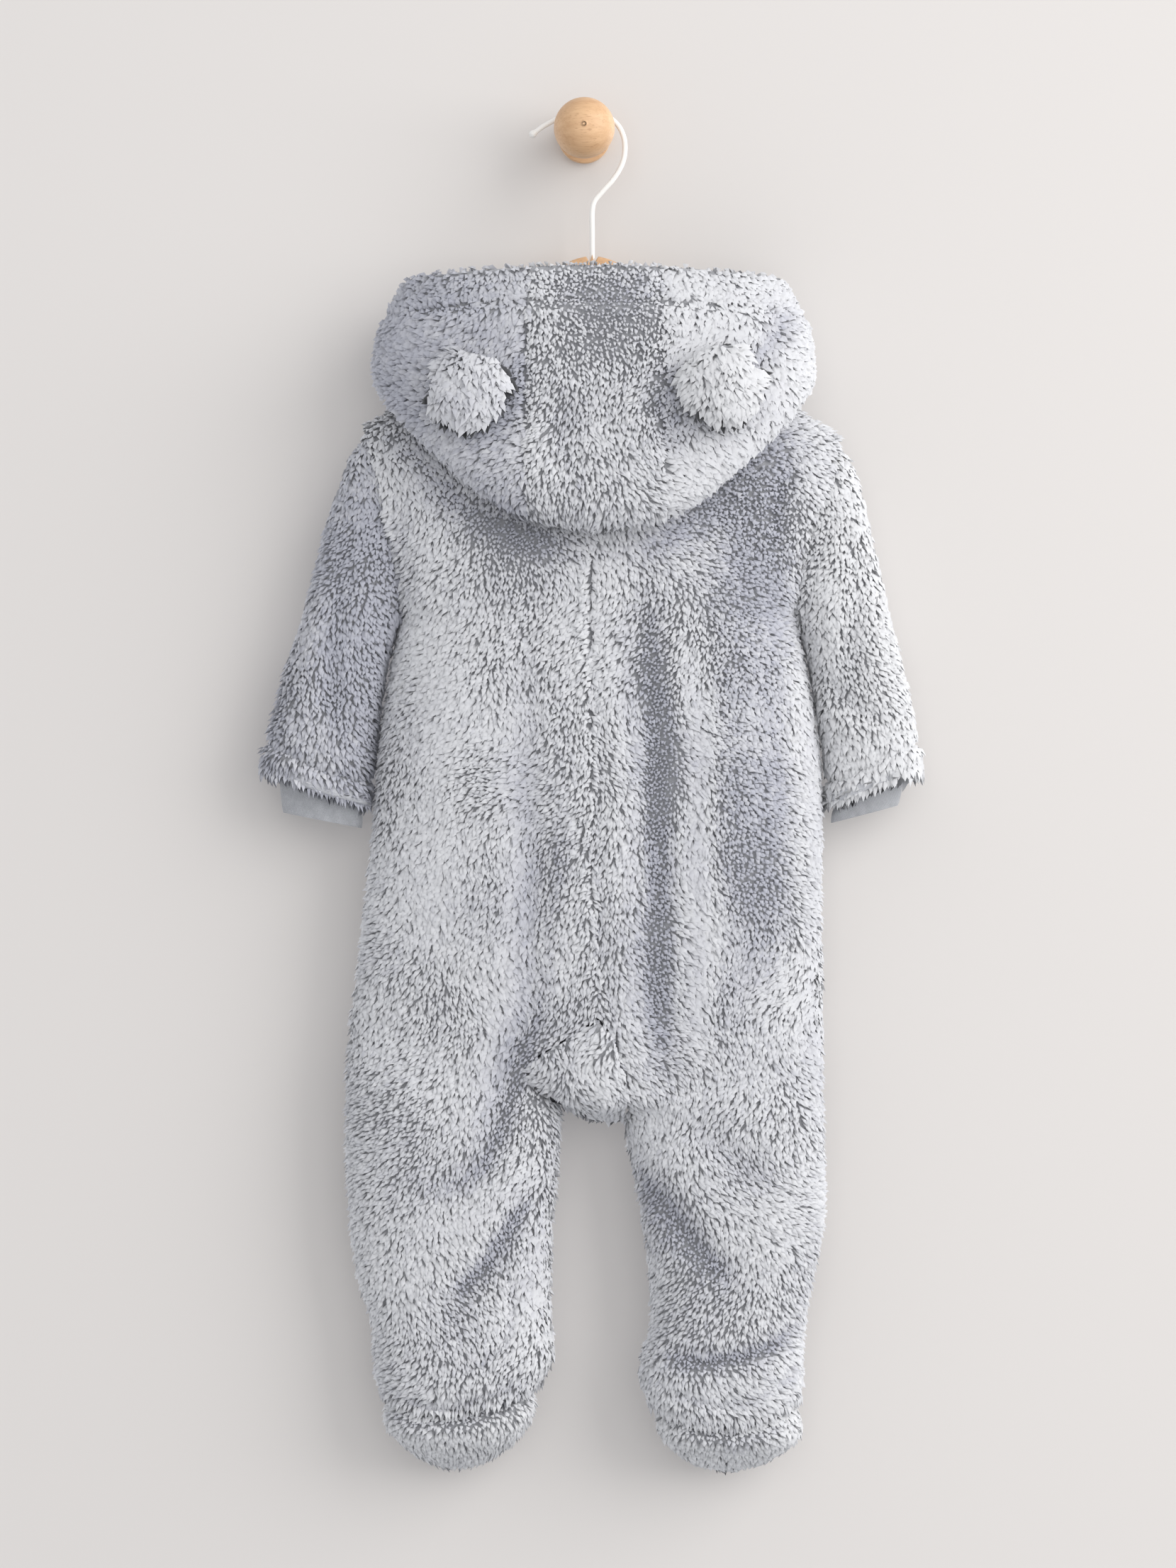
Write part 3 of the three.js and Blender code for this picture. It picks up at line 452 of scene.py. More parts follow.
@dataclass(frozen=True)
class Backdrop:
    """The room's plain pale wall and floor, clear when seen from behind."""

    colour: Colour = (0.652, 0.628, 0.611)

    def material(self) -> bpy.types.Material:
        """The backdrop's material."""
        shader = Shader("backdrop")
        shader.dress({"Base Color": self.colour, "Roughness": 0.9, "Specular IOR Level": 0.1})
        behind = shader.node("ShaderNodeNewGeometry", {}, {}, "Backfacing")
        clear = shader.node("ShaderNodeBsdfTransparent", {}, {})
        lit = Value(shader, shader.surface.outputs[0])
        both = shader.node("ShaderNodeMixShader", {}, {0: behind, 1: lit, 2: clear})
        shader.links.new(both.socket, shader.output.inputs["Surface"])
        return shader.material


# ------------------------------------------------------------------ meshes


@dataclass
class Build:
    """Makes mesh objects in metres from points in millimetres and puts them in the scene."""

    finishes: dict[str, bpy.types.Material] = field(default_factory=dict)

    def mesh(self, name: str, points: Array, faces: Sequence, finish: str | Sequence[str],
             slots: Array | None = None, maps: dict[str, Array] | None = None,
             smooth: bool = True) -> bpy.types.Object:
        """Makes one object.

        Args:
            name: The object's name.
            points: Its vertices in millimetres.
            faces: Its faces, as lists of vertex numbers.
            finish: The finish or finishes it wears.
            slots: The finish number of each face.
            maps: UV maps by name, one pair for each face corner.
            smooth: Whether its faces are shaded smooth.
        Returns:
            The object.
        """
        mesh = bpy.data.meshes.new(name)
        mesh.from_pydata((np.asarray(points) * MM).tolist(), [], faces)
        for one in [finish] if isinstance(finish, str) else finish:
            mesh.materials.append(self.finishes[one])
        if slots is not None:
            mesh.polygons.foreach_set("material_index", np.asarray(slots, np.int32))
        for key, pairs in (maps or {}).items():
            mesh.uv_layers.new(name=key).data.foreach_set("uv", np.asarray(pairs, np.float32).ravel())
        mesh.polygons.foreach_set("use_smooth", np.full(len(mesh.polygons), smooth))
        mesh.update()
        made = bpy.data.objects.new(name, mesh)
        bpy.context.scene.collection.objects.link(made)
        return made

    def keep(self, piece: bpy.types.Object, slot: str, nodes: Sequence[str] = (),
             body: Body = Body.SUIT) -> bpy.types.Object:
        """Ties a piece to its body and to the nodes that it stands for."""
        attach(piece, body.value)
        if nodes:
            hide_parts(*nodes)
        LOG.info("%s: %d triangles", piece.name, sum(len(p.vertices) - 2 for p in piece.data.polygons))
        return piece


@dataclass(frozen=True)
class Fold:
    """A soft trough in the cloth, or a ridge where depth is below 0.

    The route is X and Z pairs as seen from behind the suit, and the trough fades at both ends.
    """

    route: tuple[tuple[float, float], ...]
    depth: float
    width: float
    face: Face = Face.BACK
    shoulder: float = 0.45

    def height(self, points: Array, normals: Array) -> Array:
        """How far the fold lifts the cloth.

        Args:
            points: Places on the cloth, (n, 3).
            normals: The ways out at those places.
        Returns:
            The lift in millimetres, below 0 in a trough.
        """
        knots = np.array([(x, 0.0, z) for x, z in self.route], float)
        line = through(knots, np.linspace(0, 1, 6 * len(knots)))[:, [0, 2]]
        step = np.diff(line, axis=0)
        offset = points[:, None, [0, 2]] - line[None, :-1]
        share = np.clip((offset * step).sum(-1) / (step**2).sum(-1), 0, 1)
        gap = np.linalg.norm(offset - share[..., None] * step, axis=-1)
        near = gap.argmin(axis=1)
        every = np.arange(len(points))
        along = (near + share[every, near]) / len(step)
        fade = ease(along / 0.3) * ease((1 - along) / 0.3)
        spread = (gap[every, near] / self.width) ** 2
        profile = (1 - self.shoulder * spread) * np.exp(-spread)
        facing = ease(0.15 + 1.4 * normals[:, 1] * self.face.value)
        return -self.depth * profile * fade * facing


@dataclass
class Panel:
    """A cut piece of cloth, as a grid of points on its outside.

    u runs across the piece and v down it. side is 1 or -1, for a grid that runs the other way, and
    closed says that u goes all the way round.
    """

    name: str
    points: Array
    side: int
    closed: bool = False
    relief: Array = field(init=False)

    def __post_init__(self) -> None:
        """Starts with no folds."""
        self.relief = np.zeros(self.points.shape[:2])

    @staticmethod
    def cut(name: str, surface: Surface, us: Array, vs: Array, side: int,
            closed: bool = False) -> "Panel":
        """Lays a panel on a surface over lists of u and v."""
        u, v = np.meshgrid(us, vs, indexing="ij")
        return Panel(name, surface(u, v), side, closed)

    def _step(self, axis: int) -> Array:
        """The change of place from one grid line to the next, at each grid point."""
        if self.closed and axis == 0:
            return (np.roll(self.points, -1, 0) - np.roll(self.points, 1, 0)) / 2
        return np.gradient(self.points, axis=axis)

    def across(self) -> Array:
        """Unit vectors along u."""
        return unit(self._step(0))

    def down(self) -> Array:
        """Unit vectors along v."""
        return unit(self._step(1))

    def normals(self) -> Array:
        """Unit vectors out of the cloth."""
        return unit(np.cross(self._step(0), self._step(1))) * self.side

    def reach(self) -> Array:
        """How far each point is from the four edges, (4, u, v): u first, u last, v first, v last."""
        across = np.linalg.norm(self._step(0), axis=-1)
        down = np.linalg.norm(self._step(1), axis=-1)
        first_u = np.cumsum(across, axis=0) - across
        first_v = np.cumsum(down, axis=1) - down
        far = np.full(first_u.shape, 1e3)
        last_u = first_u[-1:] - first_u
        edges_u = (far, far) if self.closed else (first_u, last_u)
        return np.stack([*edges_u, first_v, first_v[:, -1:] - first_v])

    def inset(self, depth: float) -> "Panel":
        """Moves the cloth in by a depth."""
        self.points = self.points - self.normals() * depth
        return self

    def crease(self, folds: Sequence[Fold]) -> "Panel":
        """Presses folds into the cloth."""
        normals = self.normals()
        flat = self.points.reshape(-1, 3)
        lift = sum((fold.height(flat, normals.reshape(-1, 3)) for fold in folds), np.zeros(len(flat)))
        lift = lift.reshape(self.relief.shape)
        self.relief = self.relief + lift
        self.points = self.points + normals * lift[..., None]
        return self

    def groove(self, at: float, depth: float, width: float) -> "Panel":
        """Presses a line of stitching into the cloth, a distance above its last edge."""
        lift = -depth * np.exp(-(((self.reach()[3] - at) / width) ** 2))
        self.points = self.points + self.normals() * lift[..., None]
        return self

    def rolled(self, radius: float) -> "Panel":
        """Rolls the last edge over to the inside."""
        edge, out, down = self.points[:, -1], self.normals()[:, -1], self.down()[:, -1]
        angles = np.radians((35, 70, 105, 140))
        rows = [edge + radius * (np.sin(a) * down - (1 - np.cos(a)) * out) for a in angles]
        self.points = np.concatenate([self.points, np.stack(rows, axis=1)], axis=1)
        self.relief = np.pad(self.relief, ((0, 0), (0, len(angles))), mode="edge")
        return self

    def reaching(self, shift: Array, rows: int) -> "Panel":
        """Moves the first rows by a shift that fades, so the piece runs under its neighbour."""
        share = np.clip(1 - np.arange(self.points.shape[1]) / rows, 0, 1)
        self.points = self.points + np.asarray(shift) * share[None, :, None]
        return self

    def tuck(self, depth: float, width: float, edges: Sequence[int] = (0, 1, 2, 3)) -> "Panel":
        """Turns edges in towards their seams."""
        near = self.reach()[list(edges)].min(axis=0)
        drop = depth * (1 - ease(near / width))
        self.points = self.points - self.normals() * drop[..., None]
        return self

    def area(self) -> float:
        """The cloth's area in square metres."""
        grid = np.concatenate([self.points, self.points[:1]]) if self.closed else self.points
        return float(cell_areas(grid).sum()) * MM * MM

    def shell(self, build: Build, thick: float, finishes: Sequence[str]) -> bpy.types.Object:
        """Makes the cloth's closed thin wall.

        Args:
            build: Makes the object.
            thick: The wall's thickness.
            finishes: The finish of the outside, then of the inside and edges.
        Returns:
            The object, with the cut's own map in metres.
        """
        nu, nv = self.points.shape[:2]
        inner = self.points - self.normals() * thick
        number = np.arange(nu * nv).reshape(nu, nv)
        wrapped = np.concatenate([number, number[:1]]) if self.closed else number
        sheet = quads(wrapped)
        faces = [*sheet, *(sheet[:, ::-1] + nu * nv)]
        rims = [wrapped[::-1, 0], wrapped[:, -1]]
        if not self.closed:
            rims += [wrapped[0, :], wrapped[-1, ::-1]]
        for rim in rims:
            faces += [(b, a, a + nu * nv, b + nu * nv) for a, b in zip(rim[:-1], rim[1:])]
        faces = np.array(faces)
        if self.side < 0:
            faces = faces[:, ::-1]
        run_u = np.cumsum(np.linalg.norm(self._step(0), axis=-1), axis=0)
        run_v = np.cumsum(np.linalg.norm(self._step(1), axis=-1), axis=1)
        flat = np.stack([run_u, run_v], axis=-1).reshape(-1, 2) * MM
        cut = np.concatenate([flat, flat])[faces.ravel()]
        slots = np.ones(len(faces), np.int32)
        slots[: len(sheet)] = 0
        points = np.concatenate([self.points.reshape(-1, 3), inner.reshape(-1, 3)])
        return build.mesh(f"cloth_{self.name}", points, faces.tolist(), finishes, slots, {"cut": cut})


def quads(number: Array) -> Array:
    """The faces between the lines of a grid of vertex numbers."""
    a, b, c, d = number[:-1, :-1], number[1:, :-1], number[1:, 1:], number[:-1, 1:]
    return np.stack([a, b, c, d], axis=-1).reshape(-1, 4)


def cell_areas(grid: Array) -> Array:
    """The area of each cell of a grid of points."""
    a, b, c, d = grid[:-1, :-1], grid[1:, :-1], grid[1:, 1:], grid[:-1, 1:]
    return 0.5 * np.linalg.norm(np.cross(c - a, d - b), axis=-1)


# ------------------------------------------------------------------ pile


@dataclass(frozen=True)
class Nap:
    """How the pile grows and lies on one kind of piece.

    edges says how it leans at the four edges of a panel: above 0 away from the edge, as at a parted
    seam, and below 0 out over it. hem is the width at the last edge where it hangs over it, shag how
    much longer it is there, and stitched the place above that edge of a line of stitching. fan
    turns the pile away from the line X = centre. shade holds lines of painted shade, along which the
    pile stands short and is painted dark, up to their depths of 0 to 1, or is brushed flat and pale
    where a depth is below 0. tone is how light the pile is, from 0 to 1, with painted light and shade
    set in it for a lit or a shaded side. calm is how alike its tufts look, from 0 to 1.
    """

    gap: float = 1.62
    length: float = 6.8
    width: float = 2.7
    lean: float = 57.0
    swirl: float = 58.0
    swirl_size: float = 60.0
    lock: float = 14.0
    fan: float = 0.0
    centre: float = 5.0
    edges: tuple[float, float, float, float] = (0.5, 0.5, 0.5, 0.5)
    hem: float = 0.0
    stitched: float = 0.0
    shag: float = 0.3
    shade: tuple[Fold, ...] = ()
    tone: float = 0.62
    calm: float = 0.0


TUFT_RISE = (0.0, 0.44, 0.45, 0.46, 1.0)
LEAN_EVEN = 57.0


class Uneven(Enum):
    """What varies over the cloth; each value is where along the noise its own pattern is read."""

    SWIRL = 3.7
    STAND = 11.3
    LOCK = 17.9
    PATCH = 29.1
    RISE = 41.3
    EDGE = 53.0


def fields(points: Array, size: float, pattern: Uneven) -> Array:
    """Smooth noise from about -1 to 1 at each point, in patches of about a size."""
    shift = Vector((pattern.value, pattern.value, pattern.value))
    return np.array([noise.noise(Vector(p / size) + shift) for p in points]) * 1.6


class Grower:
    """Grows tufts on panels.

    crisp is how far each tuft shades by its own form, not the cloth's. The sizes are those of the
    patches that vary together, in millimetres, and the spreads are those of the single tufts.
    """

    crisp: float = 0.55
    lock_size: float = 8.0
    rise_size: float = 7.0
    edge_size: float = 9.0
    patch_size: float = 35.0
    lay_spread: float = 9.0
    lean_spread: float = 6.0
    length_spread: float = 0.16
    width_spread: float = 0.14
    tone_spread: float = 0.08
    edge_reach: float = 4.5
    stitch_reach: float = 1.8
    hem_lean: float = 62.0

    def __init__(self, build: Build, seed: int) -> None:
        """Starts the draws from a seed."""
        self.build = build
        self.draw = np.random.default_rng(seed)

    def _drawn(self, count: int) -> Array:
        """A draw for each tuft, never far out."""
        return self.draw.normal(0, 1, count).clip(-2, 2)

    def _roots(self, panel: Panel, gap: float) -> tuple[Array, Array]:
        """Grid places of roots that keep a gap between them.

        Args:
            panel: The cloth.
            gap: The closest that two roots may be.
        Returns:
            Their fractional u and v numbers.
        """
        grid = np.concatenate([panel.points, panel.points[:1]]) if panel.closed else panel.points
        areas = cell_areas(grid)
        run = np.cumsum(areas.ravel())
        count = int(2.6 * run[-1] / gap**2)
        pick = np.searchsorted(run, self.draw.random(count) * run[-1])
        u, v = np.divmod(pick, areas.shape[1])
        u = u + self.draw.random(count)
        v = v + self.draw.random(count)
        places = self._at(panel, panel.points, u, v)
        tree = KDTree(count)
        for i, place in enumerate(places):
            tree.insert(place, i)
        tree.balance()
        gone = np.zeros(count, bool)
        kept = []
        for i, place in enumerate(places):
            if gone[i]:
                continue
            kept.append(i)
            for _, j, _ in tree.find_range(place, gap):
                gone[j] = True
        return u[kept], v[kept]

    @staticmethod
    def _at(panel: Panel, values: Array, u: Array, v: Array) -> Array:
        """Values of a grid field between its points."""
        nu, nv = values.shape[:2]
        i = np.floor(u).astype(int)
        j = np.minimum(np.floor(v).astype(int), nv - 2)
        nxt = (i + 1) % nu if panel.closed else np.minimum(i + 1, nu - 1)
        fu, fv = u - i, v - j
        if values.ndim == 3:
            fu, fv = fu[:, None], fv[:, None]
        low = lerp(values[i, j], values[nxt, j], fu)
        return lerp(low, lerp(values[i, j + 1], values[nxt, j + 1], fu), fv)

    def grow(self, panel: Panel, nap: Nap) -> bpy.types.Object:
        """Grows the pile of one panel.

        Args:
            panel: The cloth.
            nap: How its pile lies.
        Returns:
            The pile as one object.
        """
        u, v = self._roots(panel, nap.gap)
        count = len(u)
        pick = lambda values: self._at(panel, values, u, v)
        roots, out = pick(panel.points), unit(pick(panel.normals()))
        across, down = unit(pick(panel.across())), unit(pick(panel.down()))
        relief = pick(panel.relief)
        reach = [pick(edge) for edge in panel.reach()]
        hang = np.array((0.0, 0.0, -1.0)) + 0.25 * down
        hang = unit(hang - out * (hang * out).sum(1)[:, None])
        fan = nap.fan * (roots[:, 0] - nap.centre) / 130.0
        swirl = nap.swirl * fields(roots, nap.swirl_size, Uneven.SWIRL)
        swirl = swirl + nap.lock * fields(roots, self.lock_size, Uneven.LOCK) + fan
        lay = turned(hang, out, swirl + self.draw.normal(0, self.lay_spread, count))
        ways = (across, -across, down, -down)
        waver = 0.55 + 1.6 * fields(roots, self.edge_size, Uneven.EDGE)
        upright = np.zeros(count)
        for distance, way, pull in zip(reach, ways, nap.edges):
            near = np.exp(-((distance / self.edge_reach) ** 2))
            lay = lay + way * (1.5 * pull * near * waver)[:, None]
            upright = np.maximum(upright, near * (pull > 0))
        combed = ease(1.3 - reach[3] / nap.hem) if nap.hem else np.zeros(count)
        lay = lay * (1 - combed[:, None]) + hang * combed[:, None]
        lay = unit(lay - out * (lay * out).sum(1)[:, None])
        stand = fields(roots, nap.swirl_size * 0.8, Uneven.STAND)
        # Painted shade: along the shade lines the tufts stand shorter and more upright and are painted
        # darker below; where a line's depth is below 0 they are brushed flat instead.
        shade = -sum((line.height(roots, out) for line in nap.shade), np.zeros(count)).clip(-1, 1)
        pressed_and_shaded, brushed = shade.clip(0, 1), (-shade).clip(0, 1)
        even = (brushed + nap.calm * (1 - pressed_and_shaded)).clip(0, 1)
        lean = nap.lean + 18 * stand * (1 - brushed) + 5 * relief
        lean = lean + 0.4 * nap.lock * fields(roots, self.rise_size, Uneven.RISE)
        lean = lean + self.draw.normal(0, self.lean_spread, count) + 20 * brushed - 24 * pressed_and_shaded
        flat = (lean - LEAN_EVEN).clip(-35, 25)
        under = (-out[:, 2]).clip(0, 1)
        lean = lean * (1 - 0.2 * upright) * (1 - combed) + self.hem_lean * (1 - under) * combed
        length = nap.length * (1 + self.length_spread * self._drawn(count) + nap.shag * combed)
        if nap.stitched:
            length = length * (1 - 0.6 * np.exp(-(((reach[3] - nap.stitched) / self.stitch_reach) ** 2)))
        width = nap.width * (1 + self.width_spread * self._drawn(count)
                             + 0.012 * flat + 0.25 * even + 0.3 * pressed_and_shaded)
        length = length * (1 - 0.15 * pressed_and_shaded) * (1 + 0.006 * flat)
        patch = fields(roots, self.patch_size, Uneven.PATCH)
        # Painted light and shade in the tone: darker in the troughs of folds, lighter where tufts lie flat,
        # lighter on a hem but darker where it faces down, and darker along the shade lines; patch and the
        # random spread are the pile's own uneven tone.
        tone = nap.tone + 0.09 * relief + 0.1 * patch + combed * (0.1 - 0.3 * under) + 0.007 * flat
        tone = tone + self.tone_spread * self.draw.normal(0, 1, count) * (1 - 0.6 * even)
        tone = tone - 0.45 * pressed_and_shaded - 0.3 * brushed
        crisp = self.crisp * (1 - 0.75 * even)
        return self._tufts(panel.name, roots, out, lay, lean.clip(12, 80), length, width, tone, crisp)

    def _tufts(self, name: str, roots: Array, out: Array, lay: Array, lean: Array, length: Array,
               width: Array, tone: Array, crisp: Array) -> bpy.types.Object:
        """Makes tufts: each has a root, a ring of three points at its belly and a tip.

        Args:
            name: The panel's name.
            roots: Where the tufts grow.
            out: The ways out of the cloth.
            lay: The ways they lie along the cloth.
            lean: How far they lean over, in degrees.
            length: Their lengths.
            width: Their widths.
            tone: Their tones, from 0 to 1.
            crisp: How far each shades by its own form.
        Returns:
            The tufts as one object.
        """
        count, ring = len(roots), 3
        low, high = np.radians(lean - 10)[:, None], np.radians(lean + 16)[:, None]
        rise = out * np.cos(low) + lay * np.sin(low)
        bend = out * np.cos(high) + lay * np.sin(high)
        belly = roots + rise * (0.55 * length)[:, None]
        beside = np.cross(out, lay)
        above = np.cross(rise, beside)
        turn = self.draw.random(count)[:, None] * 2 * math.pi
        points = np.empty((count, ring + 2, 3))
        points[:, 0] = roots - 1.2 * rise
        points[:, -1] = belly + bend * (0.45 * length)[:, None]
        shading = np.repeat(out[:, None], ring + 2, axis=1)
        shading[:, -1] += crisp[:, None] * bend
        for k in range(ring):
            angle = turn + 2 * math.pi * k / ring
            spoke = beside * np.cos(angle) + 0.8 * above * np.sin(angle)
            points[:, 1 + k] = belly + spoke * (0.56 * width)[:, None]
            shading[:, 1 + k] += crisp[:, None] * spoke
        faces = [(0, 1 + (k + 1) % ring, 1 + k) for k in range(ring)]
        faces += [(1 + k, 1 + (k + 1) % ring, ring + 1) for k in range(ring)]
        start = (np.arange(count) * (ring + 2))[:, None, None]
        corners = [[(0.006 * c, TUFT_RISE[c]) for c in face] for face in faces]
        base = tone.clip(0.02, 0.96)[:, None, None, None] * np.array((1.0, 0.0))
        maps = (np.array(corners) + base).reshape(-1, 2)
        faces = (np.array(faces) + start).reshape(-1, 3).tolist()
        made = self.build.mesh(f"pile_{name}", points.reshape(-1, 3), faces, "pile",
                               maps={"OFBake": maps})
        made.data.normals_split_custom_set_from_vertices(unit(shading).reshape(-1, 3).tolist())
        return self.build.keep(made, "plush")


@dataclass(frozen=True)
class Cut:
    """The flat size that a piece was cut to, in millimetres, and its area as a share of that."""

    width: float
    length: float
    share: float


@dataclass
class Tailor:
    """Makes cloth pieces: a thin shell for each with its pile on it."""

    build: Build
    grower: Grower
    inset: float = 2.8
    thick: float = 1.4
    pitch: float = 4.0

    def sew(self, panel: Panel, nap: Nap, cut: Cut) -> None:
        """Makes a plush piece.

        Args:
            panel: The piece's outside.
            nap: How its pile lies.
            cut: Its flat size.
        """
        cloth = panel.shell(self.build, self.thick, ("ground", "wrong_side"))
        self.build.keep(cloth, "plush", [panel.name])
        pile = self.grower.grow(panel, nap)
        flat = (cut.width * MM, cut.length * MM)
        area = cut.share * flat[0] * flat[1]
        LOG.info("%s: %.4f m2 shown, %.4f m2 cut", panel.name, panel.area(), area)


# ------------------------------------------------------------------ body and legs

SECTION = ("z", "side", "inner", "turn", "back", "rim", "front", "tilt", "sag")


@dataclass(frozen=True)
class Half:
    """One half of the body and its leg, as sections from the underarm to the ankle."""

    side: Side
    sections: Table
    armhole: Table | None = None
    neck_x: float = 5.0
    neck_half: float = 51.0
    neck_z: float = -118.0
    neck_low: tuple[float, float] = (-130.0, -167.0)
    neck_y: tuple[float, float] = (-48.0, -11.0)
    neck_power: tuple[float, float] = (0.5, 0.25)
    fall_power: tuple[float, float] = (0.55, 0.33)
    shoulder_y: float = -25.5
    slope: float = 0.63
    gape: float = 14.0
    squareness: float = 0.78
    slot: float = 8.0
    slot_end: float = -480.0
    slot_fade: float = 8.0

    def point(self, face: Face, s: Array, row: Array) -> Array:
        """The outside of this half.

        Args:
            face: The back or the front.
            s: From 0 at the side seam to 1 at the centre or inside-leg seam.
            row: The section's number; -1 to 0 is from the shoulder to the underarm.
        Returns:
            The points.
        """
        which = 0 if face is Face.BACK else 1
        at = np.maximum(row, 0.0)
        z = self.sections.read("z", at)
        rim = self.sections.read("rim", at)
        depth = self.sections.read(face.name.lower(), at)
        turn = np.radians(self.sections.read("turn", at))
        down = np.minimum(row, 0) + 1
        side = self.sections.read("side", at)
        if self.armhole:
            edge = self.armhole.read(self.side.name.lower(), down * (len(self.armhole.rows) - 1))
            side = np.where(row < 0, edge, side)
        inner = self.sections.read("inner", at)
        if self.armhole and face is Face.FRONT:
            opened = np.clip((z - self.slot_end) / self.slot_fade, 0, 1)
            inner = inner + self.slot * opened * self.side.value
        reach = (inner - side) / (1 - soft(np.cos(turn), self.squareness))
        x = side + reach * (1 - soft(np.cos(s * turn), self.squareness))
        y = rim + (depth - rim) * soft(np.sin(s * turn), self.squareness)
        tilt = self.sections.read("tilt", at)
        z = z - tilt * (x - (side + inner) / 2) * self.side.value
        z = z - self.sections.read("sag", at) * np.sin(s * turn) ** 2
        body = np.stack([x, y, z], axis=-1)
        if not self.armhole:
            return body
        away = np.abs(x - self.neck_x)
        inside = np.maximum(0, 1 - (away / self.neck_half) ** 2)
        top_y = lerp(self.shoulder_y, self.neck_y[which], inside ** self.neck_power[which])
        fall = soft(np.sin(down * np.pi / 2), self.fall_power[which])
        gape = self.gape * soft(np.sin(down * np.pi), 0.6) * np.maximum(0, 1 - s) ** 2
        edge_in = self.neck_z + (self.neck_low[which] - self.neck_z) * np.sqrt(inside)
        edge_out = self.neck_z - (away - self.neck_half) * self.slope
        top_z = np.where(away < self.neck_half, edge_in, edge_out)
        high_y = lerp(top_y, y, fall) + gape * face.value
        high = np.stack([x, high_y, lerp(top_z, self.sections.rows[0][0], down)], axis=-1)
        return np.where((row < 0)[..., None], high, body)


@dataclass
class Suit:
    """The body, legs and gusset, with the folds of the hanging cloth."""

    left: Half
    right: Half
    gusset_rows: tuple[float, float] = (6.0, 11.0)
    bulge: float = 5.5
    folds: tuple[Fold, ...] = ()

    def gusset_point(self, r: Array, q: Array) -> Array:
        """The gusset's outside, r from left to right and q from the back to the front."""
        row = lerp(self.gusset_rows[1], self.gusset_rows[0], np.abs(2 * q - 1))
        ends = []
        for half in (self.left, self.right):
            back = half.point(Face.BACK, np.ones_like(row), row)
            front = half.point(Face.FRONT, np.ones_like(row), row)
            ends.append(np.where((q <= 0.5)[..., None], back, front))
        high = np.clip(np.sin(np.pi * r), 0, 1) ** 0.7 * np.clip(np.sin(np.pi * q), 0, 1) ** 0.7
        way = np.stack([np.zeros_like(q), -np.cos(np.pi * q), -np.sin(np.pi * q)], axis=-1)
        return lerp(ends[0], ends[1], r[..., None]) + way * (self.bulge * high)[..., None]

    def make(self, tailor: Tailor) -> None:
        """Sews the body's backs, fronts and the gusset."""
        edges = (0.3, 0.6, 0.4, -0.8)
        naps = {Face.BACK: Nap(fan=34.0, edges=edges, hem=9.0, shade=BACK_SHADE),
                Face.FRONT: Nap(gap=1.8, width=2.95, fan=34.0, edges=edges, hem=9.0)}
        last = len(self.left.sections.rows) - 1
        for half in (self.left, self.right):
            for face in Face:
                surface = lambda s, row, half=half, face=face: half.point(face, s, row)
                down = evenly(lambda row: surface(np.full_like(row, 0.45), row), -1, last, tailor.pitch)
                over = evenly(lambda s: surface(s, np.full_like(s, 6.0)), 0, 1, tailor.pitch)
                name = f"{face.name.lower()}_{half.side.name.lower()}"
                panel = Panel.cut(name, surface, over, down, half.side.value * -face.value)
                panel.inset(tailor.inset).crease(self.folds).tuck(0.7, 4.0, edges=(1,))
                cut = Cut(145, 655, 0.82) if face is Face.BACK else Cut(155, 650, 0.71)
                tailor.sew(panel, naps[face], cut)
        us = evenly(lambda r: self.gusset_point(r, np.full_like(r, 0.5)), 0, 1, 3.0)
        vs = evenly(lambda q: self.gusset_point(np.full_like(q, 0.5), q), 0.02, 0.98, 3.0)
        gusset = Panel.cut("crotch_gusset", self.gusset_point, us, vs, -1)
        gusset.inset(tailor.inset - 0.8).crease(self.folds)
        nap = Nap(edges=(-0.2, -0.2, -0.5, -0.5), swirl=80, swirl_size=30)
        tailor.sew(gusset, nap, Cut(55, 160, 0.66))


@dataclass
class Feet:
    """The two stuffed-looking but hollow feet, each a sole and an upper."""

    halves: tuple[Half, ...]
    pitch: float = 3.0

    def make(self, tailor: Tailor) -> None:
        """Sews both feet."""
        for half in self.halves:
            for face, part in ((Face.BACK, "foot_sole"), (Face.FRONT, "foot_upper")):
                surface = lambda s, row, half=half, face=face: half.point(face, s, row)
                last = len(half.sections.rows) - 1
                down = evenly(lambda row: surface(np.full_like(row, 0.5), row), 0, last, self.pitch)
                over = evenly(lambda s: surface(s, np.full_like(s, 3.0)), 0, 1, self.pitch)
                name = f"{part}_{half.side.name.lower()}"
                panel = Panel.cut(name, surface, over, down, half.side.value * -face.value)
                panel.inset(tailor.inset).reaching((0, 0, 7.0), 3)
                nap = Nap(edges=(-0.3, -0.3, 0, -0.5), swirl=40, shade=UNDER_LEGS, tone=0.95)
                cut = Cut(104, 68, 0.64) if face is Face.BACK else Cut(101, 66, 0.57)
                tailor.sew(panel, nap, cut)


# ------------------------------------------------------------------ sleeves

RING = ("outX", "outZ", "inX", "inZ", "mid", "deep")


